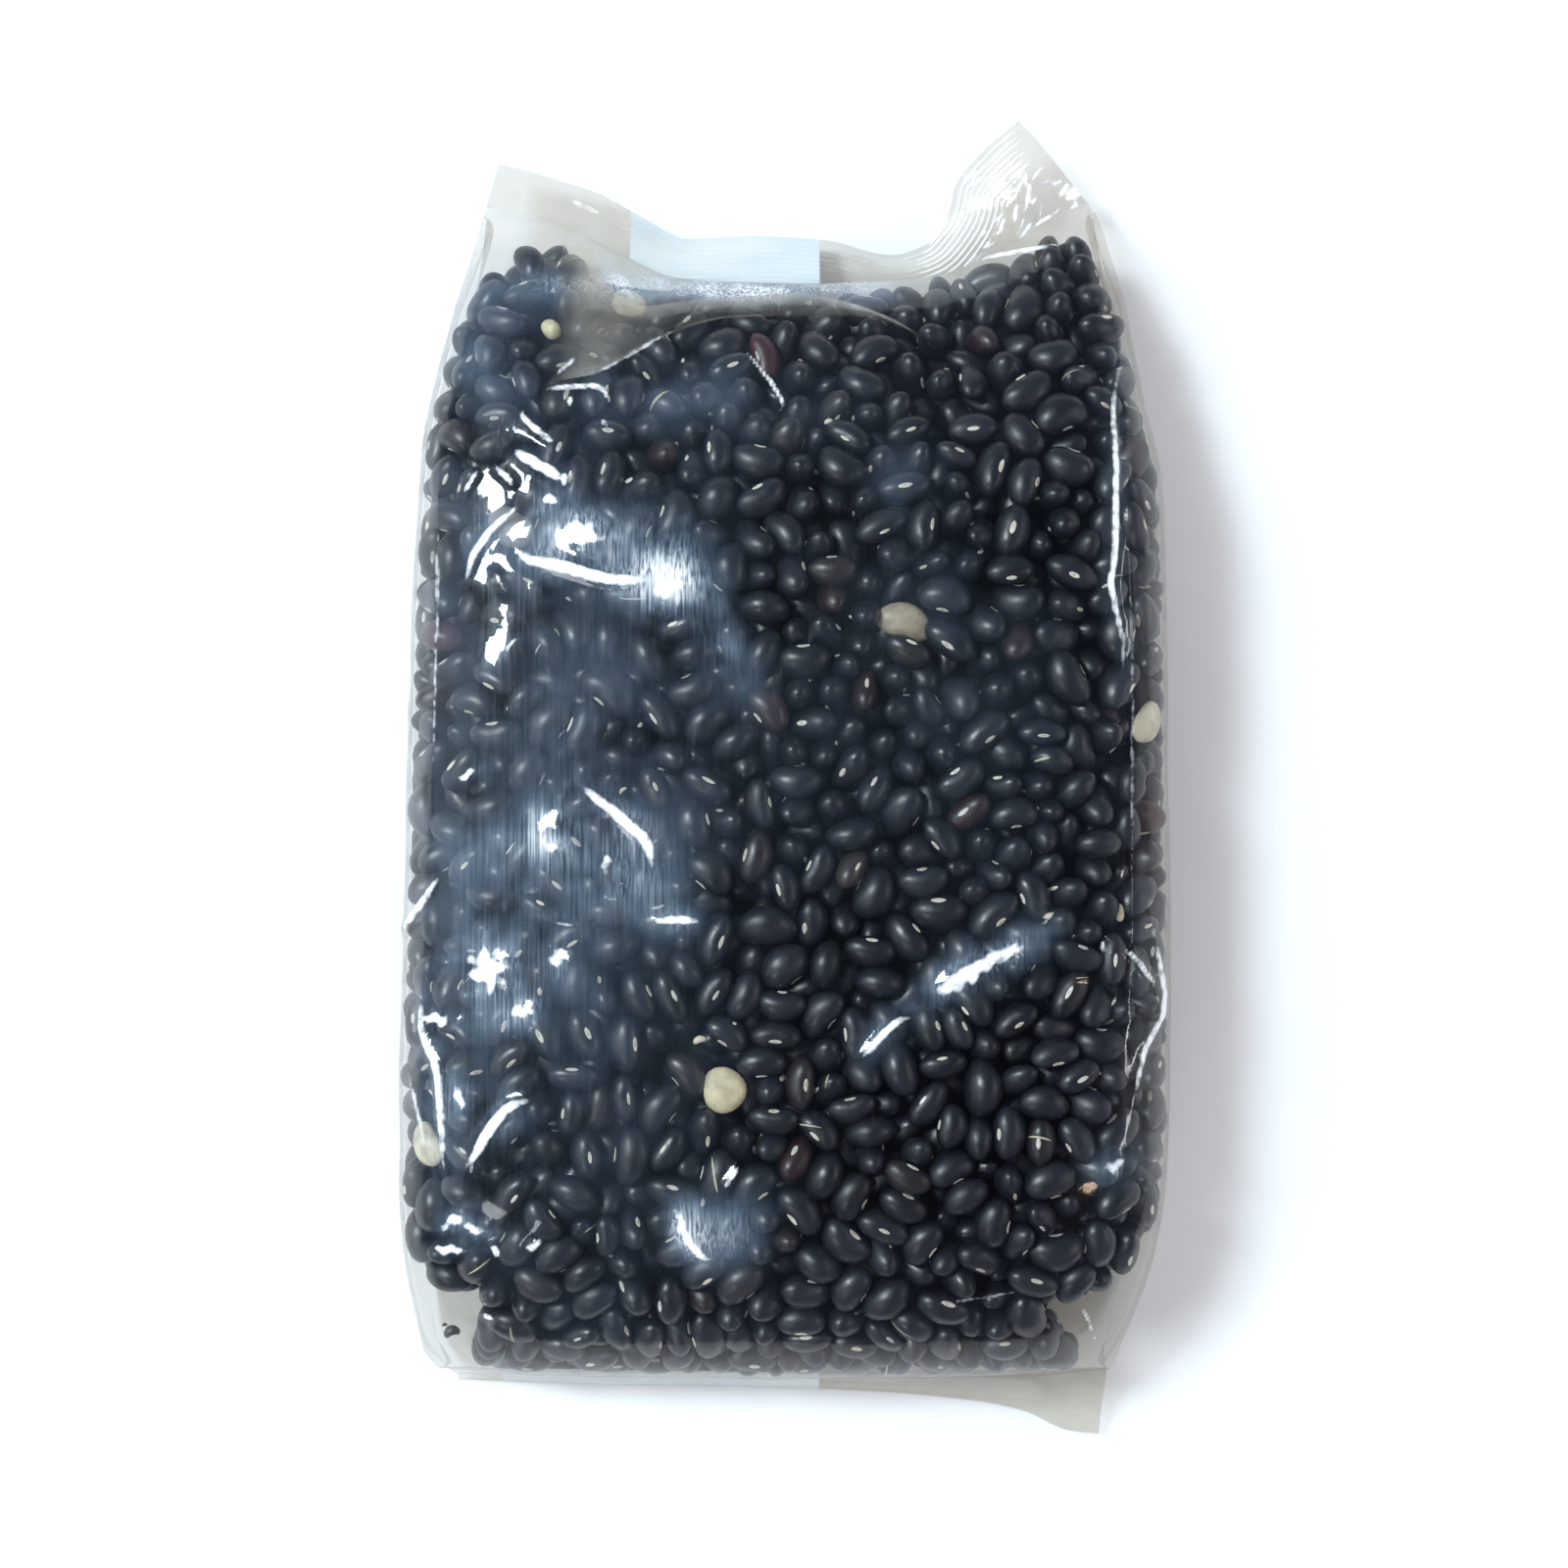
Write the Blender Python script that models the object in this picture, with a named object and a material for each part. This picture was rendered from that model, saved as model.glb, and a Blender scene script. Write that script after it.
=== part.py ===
"""A sealed, side-gusseted film bag filled with dried beans, lying on its back.

The bag is one closed solid.  +Y points to the top seal, +X to the bag's right
when its front faces up, +Z up.  Every row of the bag is a closed ring that runs
over the front panel and back under the rear panel, and the rings are lofted
from the bottom fin's cut edge, over the filled pouch, to the top fin's cut edge.

Run with: blender --background --python part.py
"""

import math

import bmesh
import bpy
import numpy as np

MM = 0.001

# Driving dimensions, in millimetres.
FIN = 0.8  # two heat-sealed panels, as one flat fin
FRONT_RISE = 28.5  # front panel above the side seam, at the middle
BACK_DROP = 18.5  # rear panel below the side seam, before it flattens on a table
SEAM_HEIGHT = 17.0  # height of the side seam at mid length
BLUNT_END = 21.0  # length over which the bottom end rounds off
TAPER_END = 62.0  # length over which the top end slopes down to its seal
SIDE_POWER = 6.5  # squareness of the section across the bag
GUSSET_DEPTH = 2.6  # how far the side seam is tucked in at mid length
GUSSET_END = 5.5  # extra tuck of the side seam at both ends of the pouch
GUSSET_SPAN = 0.036  # share of the half width that the tuck takes up
ACROSS = 40  # faces across each panel
ALONG = 44  # faces along the pouch
FIN_ROWS = 4  # faces along each fin

# Side edges of the lying bag: height up the bag (y) and the edge's x.
LEFT_EDGE = [
    (-131.5, -65.2), (-118.5, -65.4), (-114.5, -69.0), (-107.5, -72.0),
    (-89.5, -74.0), (-66.0, -74.3), (-29.0, -73.3), (26.0, -72.0),
    (58.0, -70.4), (73.0, -68.3), (96.0, -62.4), (121.0, -56.4), (130.0, -54.0),
]
RIGHT_EDGE = [
    (-131.5, 62.6), (-118.5, 63.4), (-113.5, 64.6), (-105.5, 68.0),
    (-91.0, 71.9), (-60.0, 73.9), (-12.0, 73.8), (36.0, 73.2), (56.0, 72.6),
    (71.0, 69.8), (97.0, 64.4), (111.0, 60.4), (118.0, 55.0), (124.3, 49.6),
    (129.0, 45.0),
]
# Lines across the bag: share of the width (u) and the line's y.
BOTTOM_CUT = [(0.0, -120.4), (0.15, -121.1), (0.6, -122.5), (0.78, -124.3),
              (0.88, -126.4), (0.95, -130.1), (1.0, -130.8)]
BOTTOM_LINE = [(0.0, -116.4), (0.5, -117.4), (1.0, -116.6)]
TOP_LINE = [(0.0, 112.0), (0.12, 109.0), (0.22, 103.5), (0.33, 98.0),
            (0.50, 97.0), (0.70, 98.0), (0.84, 104.0), (0.92, 109.5),
            (1.0, 113.0)]
TOP_CUT = [(0.0, 120.9), (0.10, 118.3), (0.185, 115.5), (0.259, 111.0),
           (0.33, 106.9), (0.45, 107.5), (0.56, 106.6), (0.66, 103.7),
           (0.715, 105.5), (0.75, 109.4), (0.805, 117.1), (0.885, 122.8),
           (1.0, 128.4)]


def smooth_line(points, at):
    """A monotone cubic through a few (place, value) points."""
    xs = np.array([p[0] for p in points], float)
    ys = np.array([p[1] for p in points], float)
    step = np.diff(xs)
    slope = np.diff(ys) / step
    tangent = np.empty(len(xs))
    tangent[0], tangent[-1] = slope[0], slope[-1]
    for i in range(1, len(xs) - 1):
        if slope[i - 1] * slope[i] <= 0:
            tangent[i] = 0.0
        else:
            first, second = 2 * step[i] + step[i - 1], step[i] + 2 * step[i - 1]
            tangent[i] = (first + second) / (first / slope[i - 1] + second / slope[i])
    at = np.clip(np.asarray(at, float), xs[0], xs[-1])
    k = np.clip(np.searchsorted(xs, at, side="right") - 1, 0, len(step) - 1)
    t = (at - xs[k]) / step[k]
    return (
        (1 + 2 * t) * (1 - t) ** 2 * ys[k]
        + t * (1 - t) ** 2 * step[k] * tangent[k]
        + t**2 * (3 - 2 * t) * ys[k + 1]
        + t**2 * (t - 1) * step[k] * tangent[k + 1]
    )


def ease(value):
    value = np.clip(value, 0.0, 1.0)
    return value * value * (3 - 2 * value)


def bulges(x, y):
    """The uneven push of the beans from inside, a few waves long."""
    return (
        0.55 * np.sin(x / 11.0 + 0.6) * np.sin(y / 13.0 + 1.1)
        + 0.45 * np.sin(x / 17.0 - y / 21.0 + 2.0)
        + 0.35 * np.sin(x / 7.3 + y / 9.1)
    )


def across_places():
    """Shares of the width, closer together at the rounded sides."""
    t = np.linspace(-1.0, 1.0, ACROSS + 1)
    return 0.5 + 0.5 * np.sin(0.5 * math.pi * t)


def row_heights(u, zone, w):
    """y of a row, at each share of the width, in the given zone of the bag."""
    if zone == "bottom_fin":
        low, high = smooth_line(BOTTOM_CUT, u), smooth_line(BOTTOM_LINE, u)
    elif zone == "pouch":
        low, high = smooth_line(BOTTOM_LINE, u), smooth_line(TOP_LINE, u)
    else:
        low, high = smooth_line(TOP_LINE, u), smooth_line(TOP_CUT, u)
    return low + (high - low) * w


def end_profile(u, y):
    """0 on the pouch's two end lines and 1 where the pouch is full."""
    from_bottom = np.clip((y - smooth_line(BOTTOM_LINE, u)) / BLUNT_END, 0, 1)
    from_top = np.clip((smooth_line(TOP_LINE, u) - y) / TAPER_END, 0, 1)
    blunt = np.sqrt(np.clip(1 - (1 - from_bottom) ** 2.3, 0, 1))
    taper = np.clip(1 - (1 - from_top) ** 2.1, 0, 1) ** 0.60
    return blunt * taper


def seam_height(u, y, zone, w):
    """Height of the side seam and of both fins' middle plane."""
    run = ease((y + 114.0) / 40.0)
    pouch = 9.0 + (SEAM_HEIGHT - 9.0) * run
    pouch = pouch - 4.0 * ease((y - 30.0) / 66.0)
    if zone == "bottom_fin":
        lift = 1.4 + 2.2 * np.exp(-(((u - 0.97) / 0.10) ** 2))
        return pouch + (lift - pouch) * ease(w)
    if zone == "top_fin":
        ears = 4.5 * ease((0.30 - u) / 0.30) + 9.0 * ease((u - 0.66) / 0.34)
        curl = 6.8 + ears
        return pouch + (curl - pouch) * ease(w)
    return pouch


def panels(zone, w):
    """Front and rear points of one row, from the left seam to the right."""
    u = across_places()
    y = row_heights(u, zone, w)
    left, right = smooth_line(LEFT_EDGE, y), smooth_line(RIGHT_EDGE, y)
    middle, half = 0.5 * (left + right), 0.5 * (right - left)
    s = 2 * u - 1
    along_fin = 0.0
    if zone == "bottom_fin":
        along_fin = 1.0 - w
    elif zone == "top_fin":
        along_fin = w
    seam = seam_height(u, y, zone, along_fin)
    if zone == "pouch":
        full = end_profile(u, y)
        hump = np.clip(1 - np.abs(s) ** SIDE_POWER, 0, 1) ** 0.5
        body = full * hump
        ends = 1 - full
        tuck = GUSSET_DEPTH * ease(full * 1.4) + GUSSET_END * ease(ends) * ease(full * 3.0)
        pull = np.exp(-(((1 - np.abs(s)) / GUSSET_SPAN) ** 2)) * tuck
        reach = half * s - np.sign(s) * pull
        widest = np.argmax(np.abs(reach))
        x = middle + reach * half[widest] / abs(reach[widest])
        swell = 1 + 0.018 * np.clip(bulges(x, y), -1.2, 1.2) * body
        top = seam + FIN / 2 + FRONT_RISE * body * swell
        low = seam - FIN / 2 - BACK_DROP * body
    else:
        x = middle + half * s
        top, low = seam + FIN / 2, seam - FIN / 2
    low = np.maximum(low, 0.0)
    top = np.maximum(top, low + FIN)
    return np.column_stack([x, y, top]), np.column_stack([x, y, low])


def rows():
    """Every row of the bag, from the bottom cut edge to the top one."""
    made = []
    for i in range(FIN_ROWS):
        made.append(panels("bottom_fin", i / FIN_ROWS))
    for i in range(ALONG + 1):
        t = i / ALONG
        made.append(panels("pouch", 0.45 * t + 0.55 * (0.5 - 0.5 * math.cos(math.pi * t))))
    for i in range(1, FIN_ROWS + 1):
        made.append(panels("top_fin", i / FIN_ROWS))
    return made


def build_bag():
    made = rows()
    every = np.concatenate([np.concatenate(pair) for pair in made])
    low, high = every.min(axis=0), every.max(axis=0)
    shift = np.array([(low[0] + high[0]) / 2, (low[1] + high[1]) / 2, low[2]])
    mesh = bpy.data.meshes.new("bag")
    shape = bmesh.new()
    rings = []
    for front, rear in made:
        top = [shape.verts.new((point - shift) * MM) for point in front]
        under = [shape.verts.new((point - shift) * MM) for point in rear]
        rings.append((top, under))
    for (top_a, under_a), (top_b, under_b) in zip(rings, rings[1:]):
        for i in range(ACROSS):
            shape.faces.new((top_a[i], top_a[i + 1], top_b[i + 1], top_b[i]))
            shape.faces.new((under_a[i], under_b[i], under_b[i + 1], under_a[i + 1]))
        shape.faces.new((under_a[0], top_a[0], top_b[0], under_b[0]))
        shape.faces.new((top_a[-1], under_a[-1], under_b[-1], top_b[-1]))
    top, under = rings[0]
    for i in range(ACROSS):
        shape.faces.new((under[i], under[i + 1], top[i + 1], top[i]))
    top, under = rings[-1]
    for i in range(ACROSS):
        shape.faces.new((top[i], top[i + 1], under[i + 1], under[i]))
    bmesh.ops.triangulate(shape, faces=shape.faces[:])
    bmesh.ops.recalc_face_normals(shape, faces=shape.faces[:])
    shape.to_mesh(mesh)
    shape.free()
    mesh.shade_smooth()
    mesh.set_sharp_from_angle(angle=math.radians(40))
    bag = bpy.data.objects.new("bag", mesh)
    bpy.context.scene.collection.objects.link(bag)
    return bag


def film_material():
    material = bpy.data.materials.new("filled_film")
    material.use_nodes = True
    shader = material.node_tree.nodes["Principled BSDF"]
    shader.inputs["Base Color"].default_value = (0.045, 0.055, 0.075, 1.0)
    shader.inputs["Roughness"].default_value = 0.22
    shader.inputs["Metallic"].default_value = 0.0
    return material


def main():
    for old in list(bpy.data.objects):
        bpy.data.objects.remove(old, do_unlink=True)
    bag = build_bag()
    bag.data.materials.append(film_material())


main()
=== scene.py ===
"""The looks of a sealed clear film bag of dried beans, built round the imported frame."""

import math

import bpy
import numpy as np
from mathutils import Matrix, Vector, kdtree


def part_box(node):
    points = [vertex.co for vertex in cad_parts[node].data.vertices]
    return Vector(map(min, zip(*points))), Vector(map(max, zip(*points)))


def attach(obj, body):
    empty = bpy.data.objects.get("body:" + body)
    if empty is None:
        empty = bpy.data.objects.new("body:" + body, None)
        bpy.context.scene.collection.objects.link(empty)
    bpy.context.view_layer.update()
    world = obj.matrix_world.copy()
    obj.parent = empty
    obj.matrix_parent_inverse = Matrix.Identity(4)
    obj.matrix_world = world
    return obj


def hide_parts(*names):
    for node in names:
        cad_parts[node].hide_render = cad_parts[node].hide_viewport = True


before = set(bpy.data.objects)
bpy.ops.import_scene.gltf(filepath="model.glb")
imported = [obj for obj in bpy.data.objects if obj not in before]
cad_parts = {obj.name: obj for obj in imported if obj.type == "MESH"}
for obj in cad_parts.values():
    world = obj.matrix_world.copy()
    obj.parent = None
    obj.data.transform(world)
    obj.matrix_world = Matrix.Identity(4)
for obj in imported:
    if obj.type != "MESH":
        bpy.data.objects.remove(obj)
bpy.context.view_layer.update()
LOW, HIGH = (np.array(corner) * 1000 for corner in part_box("bag"))
MM = 0.001
SEED = 20

# ---------------------------------------------------------------- bag's shape
# The same named sizes as the solid's, in millimetres.
FIN = 0.8
FRONT_RISE = 28.5
BACK_DROP = 18.5
SEAM_HEIGHT = 17.0
BLUNT_END = 21.0
TAPER_END = 62.0
SIDE_POWER = 6.5
GUSSET_DEPTH = 2.6
GUSSET_END = 5.5
GUSSET_SPAN = 0.036
LEFT_EDGE = [
    (-131.5, -65.2), (-118.5, -65.4), (-114.5, -69.0), (-107.5, -72.0),
    (-89.5, -74.0), (-66.0, -74.3), (-29.0, -73.3), (26.0, -72.0),
    (58.0, -70.4), (73.0, -68.3), (96.0, -62.4), (121.0, -56.4), (130.0, -54.0),
]
RIGHT_EDGE = [
    (-131.5, 62.6), (-118.5, 63.4), (-113.5, 64.6), (-105.5, 68.0),
    (-91.0, 71.9), (-60.0, 73.9), (-12.0, 73.8), (36.0, 73.2), (56.0, 72.6),
    (71.0, 69.8), (97.0, 64.4), (111.0, 60.4), (118.0, 55.0), (124.3, 49.6),
    (129.0, 45.0),
]
# Lines across the bag: share of the width (u) and the line's y.
BOTTOM_CUT = [(0.0, -120.4), (0.15, -121.1), (0.6, -122.5), (0.78, -124.3),
              (0.88, -126.4), (0.95, -130.1), (1.0, -130.8)]
BOTTOM_LINE = [(0.0, -116.4), (0.5, -117.4), (1.0, -116.6)]
TOP_LINE = [(0.0, 112.0), (0.12, 109.0), (0.22, 103.5), (0.33, 98.0),
            (0.50, 97.0), (0.70, 98.0), (0.84, 104.0), (0.92, 109.5),
            (1.0, 113.0)]
TOP_CUT = [(0.0, 120.9), (0.10, 118.3), (0.185, 115.5), (0.259, 111.0),
           (0.33, 106.9), (0.45, 107.5), (0.56, 106.6), (0.66, 103.7),
           (0.715, 105.5), (0.75, 109.4), (0.805, 117.1), (0.885, 122.8),
           (1.0, 128.4)]


def smooth_line(points, at):
    xs = np.array([p[0] for p in points], float)
    ys = np.array([p[1] for p in points], float)
    step = np.diff(xs)
    slope = np.diff(ys) / step
    tangent = np.empty(len(xs))
    tangent[0], tangent[-1] = slope[0], slope[-1]
    for i in range(1, len(xs) - 1):
        if slope[i - 1] * slope[i] <= 0:
            tangent[i] = 0.0
        else:
            first, second = 2 * step[i] + step[i - 1], step[i] + 2 * step[i - 1]
            tangent[i] = (first + second) / (first / slope[i - 1] + second / slope[i])
    at = np.clip(np.asarray(at, float), xs[0], xs[-1])
    k = np.clip(np.searchsorted(xs, at, side="right") - 1, 0, len(step) - 1)
    t = (at - xs[k]) / step[k]
    return (
        (1 + 2 * t) * (1 - t) ** 2 * ys[k]
        + t * (1 - t) ** 2 * step[k] * tangent[k]
        + t**2 * (3 - 2 * t) * ys[k + 1]
        + t**2 * (t - 1) * step[k] * tangent[k + 1]
    )


def ease(value):
    value = np.clip(value, 0.0, 1.0)
    return value * value * (3 - 2 * value)


def bulges(x, y):
    return (
        0.55 * np.sin(x / 11.0 + 0.6) * np.sin(y / 13.0 + 1.1)
        + 0.45 * np.sin(x / 17.0 - y / 21.0 + 2.0)
        + 0.35 * np.sin(x / 7.3 + y / 9.1)
    )


def row_heights(u, zone, w):
    if zone == "bottom_fin":
        low, high = smooth_line(BOTTOM_CUT, u), smooth_line(BOTTOM_LINE, u)
    elif zone == "pouch":
        low, high = smooth_line(BOTTOM_LINE, u), smooth_line(TOP_LINE, u)
    else:
        low, high = smooth_line(TOP_LINE, u), smooth_line(TOP_CUT, u)
    return low + (high - low) * w


def end_profile(u, y):
    from_bottom = np.clip((y - smooth_line(BOTTOM_LINE, u)) / BLUNT_END, 0, 1)
    from_top = np.clip((smooth_line(TOP_LINE, u) - y) / TAPER_END, 0, 1)
    blunt = np.sqrt(np.clip(1 - (1 - from_bottom) ** 2.3, 0, 1))
    taper = np.clip(1 - (1 - from_top) ** 2.1, 0, 1) ** 0.60
    return blunt * taper


def seam_height(u, y, zone, w):
    run = ease((y + 114.0) / 40.0)
    pouch = 9.0 + (SEAM_HEIGHT - 9.0) * run
    pouch = pouch - 4.0 * ease((y - 30.0) / 66.0)
    if zone == "bottom_fin":
        lift = 1.4 + 2.2 * np.exp(-(((u - 0.97) / 0.10) ** 2))
        return pouch + (lift - pouch) * ease(w)
    if zone == "top_fin":
        ears = 4.5 * ease((0.30 - u) / 0.30) + 9.0 * ease((u - 0.66) / 0.34)
        curl = 6.8 + ears
        return pouch + (curl - pouch) * ease(w)
    return pouch


def row_reach(u, zone, w):
    """Half width, tucked reach and fullness of one row at the shares u."""
    y = row_heights(u, zone, w)
    half = 0.5 * (smooth_line(RIGHT_EDGE, y) - smooth_line(LEFT_EDGE, y))
    s = 2 * u - 1
    full = end_profile(u, y)
    tuck = GUSSET_DEPTH * ease(full * 1.4) + GUSSET_END * ease(1 - full) * ease(full * 3.0)
    pull = np.exp(-(((1 - np.abs(s)) / GUSSET_SPAN) ** 2)) * tuck
    return half, half * s - np.sign(s) * pull, full


WHOLE_ROW = 0.5 + 0.5 * np.sin(0.5 * math.pi * np.linspace(-1.0, 1.0, 41))


def panels(u, zone, w, gap=FIN):
    """Front and rear points of one row at the shares u of the width."""
    y = row_heights(u, zone, w)
    left, right = smooth_line(LEFT_EDGE, y), smooth_line(RIGHT_EDGE, y)
    middle, half = 0.5 * (left + right), 0.5 * (right - left)
    s = 2 * u - 1
    along_fin = 1.0 - w if zone == "bottom_fin" else w if zone == "top_fin" else 0.0
    seam = seam_height(u, y, zone, along_fin)
    if zone == "pouch":
        _, reach, full = row_reach(u, zone, w)
        every_half, every_reach, _ = row_reach(WHOLE_ROW, zone, w)
        widest = np.argmax(np.abs(every_reach))
        x = middle + reach * every_half[widest] / abs(every_reach[widest])
        body = full * np.clip(1 - np.abs(s) ** SIDE_POWER, 0, 1) ** 0.5
        swell = 1 + 0.018 * np.clip(bulges(x, y), -1.2, 1.2) * body
        top = seam + gap / 2 + FRONT_RISE * body * swell
        low = seam - gap / 2 - BACK_DROP * body
    else:
        x = middle + half * s
        top, low = seam + gap / 2, seam - gap / 2
    low = np.maximum(low, 0.0)
    top = np.maximum(top, low + gap)
    return np.stack([x, y, top], -1), np.stack([x, y, low], -1)


def even_shares(count, side):
    """Shares of the width that are evenly spaced along a panel's section."""
    t = np.linspace(-1.0, 1.0, 2001)
    u = 0.5 + 0.5 * np.sin(0.5 * math.pi * t)
    row = panels(u, "pouch", 0.45)[side]
    run = np.concatenate([[0], np.cumsum(np.linalg.norm(np.diff(row, axis=0), axis=1))])
    return np.interp(np.linspace(0, run[-1], count), run, u)


def even_rows(count, side):
    """Steps up the pouch that are evenly spaced along a panel's middle."""
    w = 0.5 - 0.5 * np.cos(np.linspace(0, math.pi, 1201))
    line = np.array([panels(np.array([0.3, 0.5, 0.7]), "pouch", v)[side][1] for v in w])
    run = np.concatenate([[0], np.cumsum(np.linalg.norm(np.diff(line, axis=0), axis=1))])
    return np.interp(np.linspace(0, run[-1], count), run, w)


def panel_grid(zone, u, w, side, gap=FIN):
    return np.array([panels(u, zone, v, gap)[side] for v in w])


_probe = panel_grid("pouch", even_shares(61, 0), np.linspace(0, 1, 41), 0)
SHIFT = np.array([
    (_probe[..., 0].min() + _probe[..., 0].max()) / 2 - (LOW[0] + HIGH[0]) / 2,
    (row_heights(np.linspace(0, 1, 400), "top_fin", 1.0).max()
     + row_heights(np.linspace(0, 1, 400), "bottom_fin", 0.0).min()) / 2
    - (LOW[1] + HIGH[1]) / 2,
    -LOW[2],
])

# --------------------------------------------------------------------- camera
# Straight down, as the bag lies; distances in the model's plane stay true at
# the height of the side seams.
EYE = 585.0
SPAN = 304.0
PLANE = 20.0


def seen(x, y, z):
    """Model place of a point that appears at (x, y) in the side seams' plane."""
    scale = (EYE - z) / (EYE - PLANE)
    return x * scale, y * scale


def film_height(x, y):
    """Height of the front panel over model points, from its smooth shape."""
    a, b = smooth_line(LEFT_EDGE, y), smooth_line(RIGHT_EDGE, y)
    u = np.clip((x - a) / (b - a), 0.001, 0.999)
    s = 2 * u - 1
    body = end_profile(u, y) * np.clip(1 - np.abs(s) ** SIDE_POWER, 0, 1) ** 0.5
    zone = np.where(y > smooth_line(TOP_LINE, u), 1, 0)
    pouch = seam_height(u, y, "pouch", 0.0) + FRONT_RISE * body
    fin_w = (y - smooth_line(TOP_LINE, u)) / (smooth_line(TOP_CUT, u) - smooth_line(TOP_LINE, u))
    return np.where(zone == 1, seam_height(u, y, "top_fin", np.clip(fin_w, 0, 1)) + 0.3, pouch)


# ---------------------------------------------------------------- mesh helpers
def link(obj):
    bpy.context.scene.collection.objects.link(obj)
    return obj


def build_mesh(name, points, faces, smooth=True, colours=None, weights=None):
    """An object from arrays: points in millimetres, faces a list of index arrays."""
    mesh = bpy.data.meshes.new(name)
    points = (np.asarray(points, float) - SHIFT) * MM
    sizes = np.concatenate([np.full(len(f), f.shape[1]) for f in faces])
    corners = np.concatenate([f.reshape(-1) for f in faces])
    mesh.vertices.add(len(points))
    mesh.vertices.foreach_set("co", points.astype(np.float32).ravel())
    mesh.loops.add(len(corners))
    mesh.loops.foreach_set("vertex_index", corners.astype(np.int32))
    mesh.polygons.add(len(sizes))
    starts = np.concatenate([[0], np.cumsum(sizes)[:-1]])
    mesh.polygons.foreach_set("loop_start", starts.astype(np.int32))
    mesh.update(calc_edges=True)
    mesh.validate()
    if smooth:
        mesh.shade_smooth()
    for label, values in (colours or {}).items():
        layer = mesh.color_attributes.new(label, "FLOAT_COLOR", "POINT")
        full = np.ones((len(points), 4), np.float32)
        full[:, :3] = values
        layer.data.foreach_set("color", full.ravel())
    for label, values in (weights or {}).items():
        layer = mesh.attributes.new(label, "FLOAT", "POINT")
        layer.data.foreach_set("value", np.asarray(values, np.float32).ravel())
    return link(bpy.data.objects.new(name, mesh))


def grid_faces(rows, cols, flip=False):
    i = np.arange(rows - 1)[:, None] * cols + np.arange(cols - 1)[None, :]
    quad = np.stack([i, i + 1, i + 1 + cols, i + cols], -1).reshape(-1, 4)
    return quad[:, ::-1] if flip else quad


def grid_normals(grid):
    across = np.gradient(grid, axis=1)
    along = np.gradient(grid, axis=0)
    normal = np.cross(across, along)
    return normal / np.maximum(np.linalg.norm(normal, axis=-1, keepdims=True), 1e-9)


# --------------------------------------------------------------- the container
FRONT_U, BACK_U = even_shares(265, 0), even_shares(171, 1)
FRONT_W, BACK_W = even_rows(345, 0), even_rows(221, 1)
FRONT = panel_grid("pouch", FRONT_U, FRONT_W, 0)
BACK = panel_grid("pouch", BACK_U, BACK_W, 1)
FRONT_N = grid_normals(FRONT)
BACK_N = -grid_normals(BACK)

# Where beans lie, seen from above: they leave the film's corners empty and end
# in an uneven heap at the top.
BEAN_OUTLINE = np.array([
    (-54.0, -116.5), (-60.0, -115.5), (-65.5, -113.5), (-65.0, -109.5),
    (-59.5, -107.0), (-59.0, -101.5), (-63.0, -99.0), (-70.5, -96.5),
    (-75.5, -89.0), (-76.0, 20.0), (-73.0, 60.0), (-70.0, 76.0), (-63.5, 86.5),
    (-60.0, 95.0), (-57.5, 102.5), (-52.0, 106.5), (-46.0, 106.5), (-41.0, 104.0),
    (-36.0, 98.0), (-30.0, 95.0), (-22.0, 94.5), (-12.0, 96.0), (-4.0, 94.5),
    (8.0, 94.5), (16.0, 96.0), (26.0, 98.0), (36.0, 100.0), (46.0, 103.0),
    (53.0, 107.5), (59.0, 106.0), (61.5, 97.0), (66.0, 86.0), (71.5, 68.0),
    (75.5, 50.0), (76.0, -80.0), (72.5, -87.5), (66.0, -94.0), (61.0, -98.0),
    (50.0, -100.5), (52.0, -104.5), (57.0, -109.0), (59.5, -115.0), (52.0, -116.5),
    (0.0, -117.5),
])


def inside_outline(x, y, outline):
    """Signed distance to a closed outline, over zero inside it."""
    best = np.full(x.shape, 1e9)
    within = np.zeros(x.shape, bool)
    ends = np.roll(outline, -1, axis=0)
    for (ax, ay), (bx, by) in zip(outline, ends):
        dx, dy = bx - ax, by - ay
        t = np.clip(((x - ax) * dx + (y - ay) * dy) / (dx * dx + dy * dy), 0, 1)
        best = np.minimum(best, np.hypot(x - ax - t * dx, y - ay - t * dy))
        if ay != by:
            crosses = ((ay > y) != (by > y)) & (x < ax + (y - ay) * dx / dy)
            within ^= crosses
    return np.where(within, best, -best)


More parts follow.
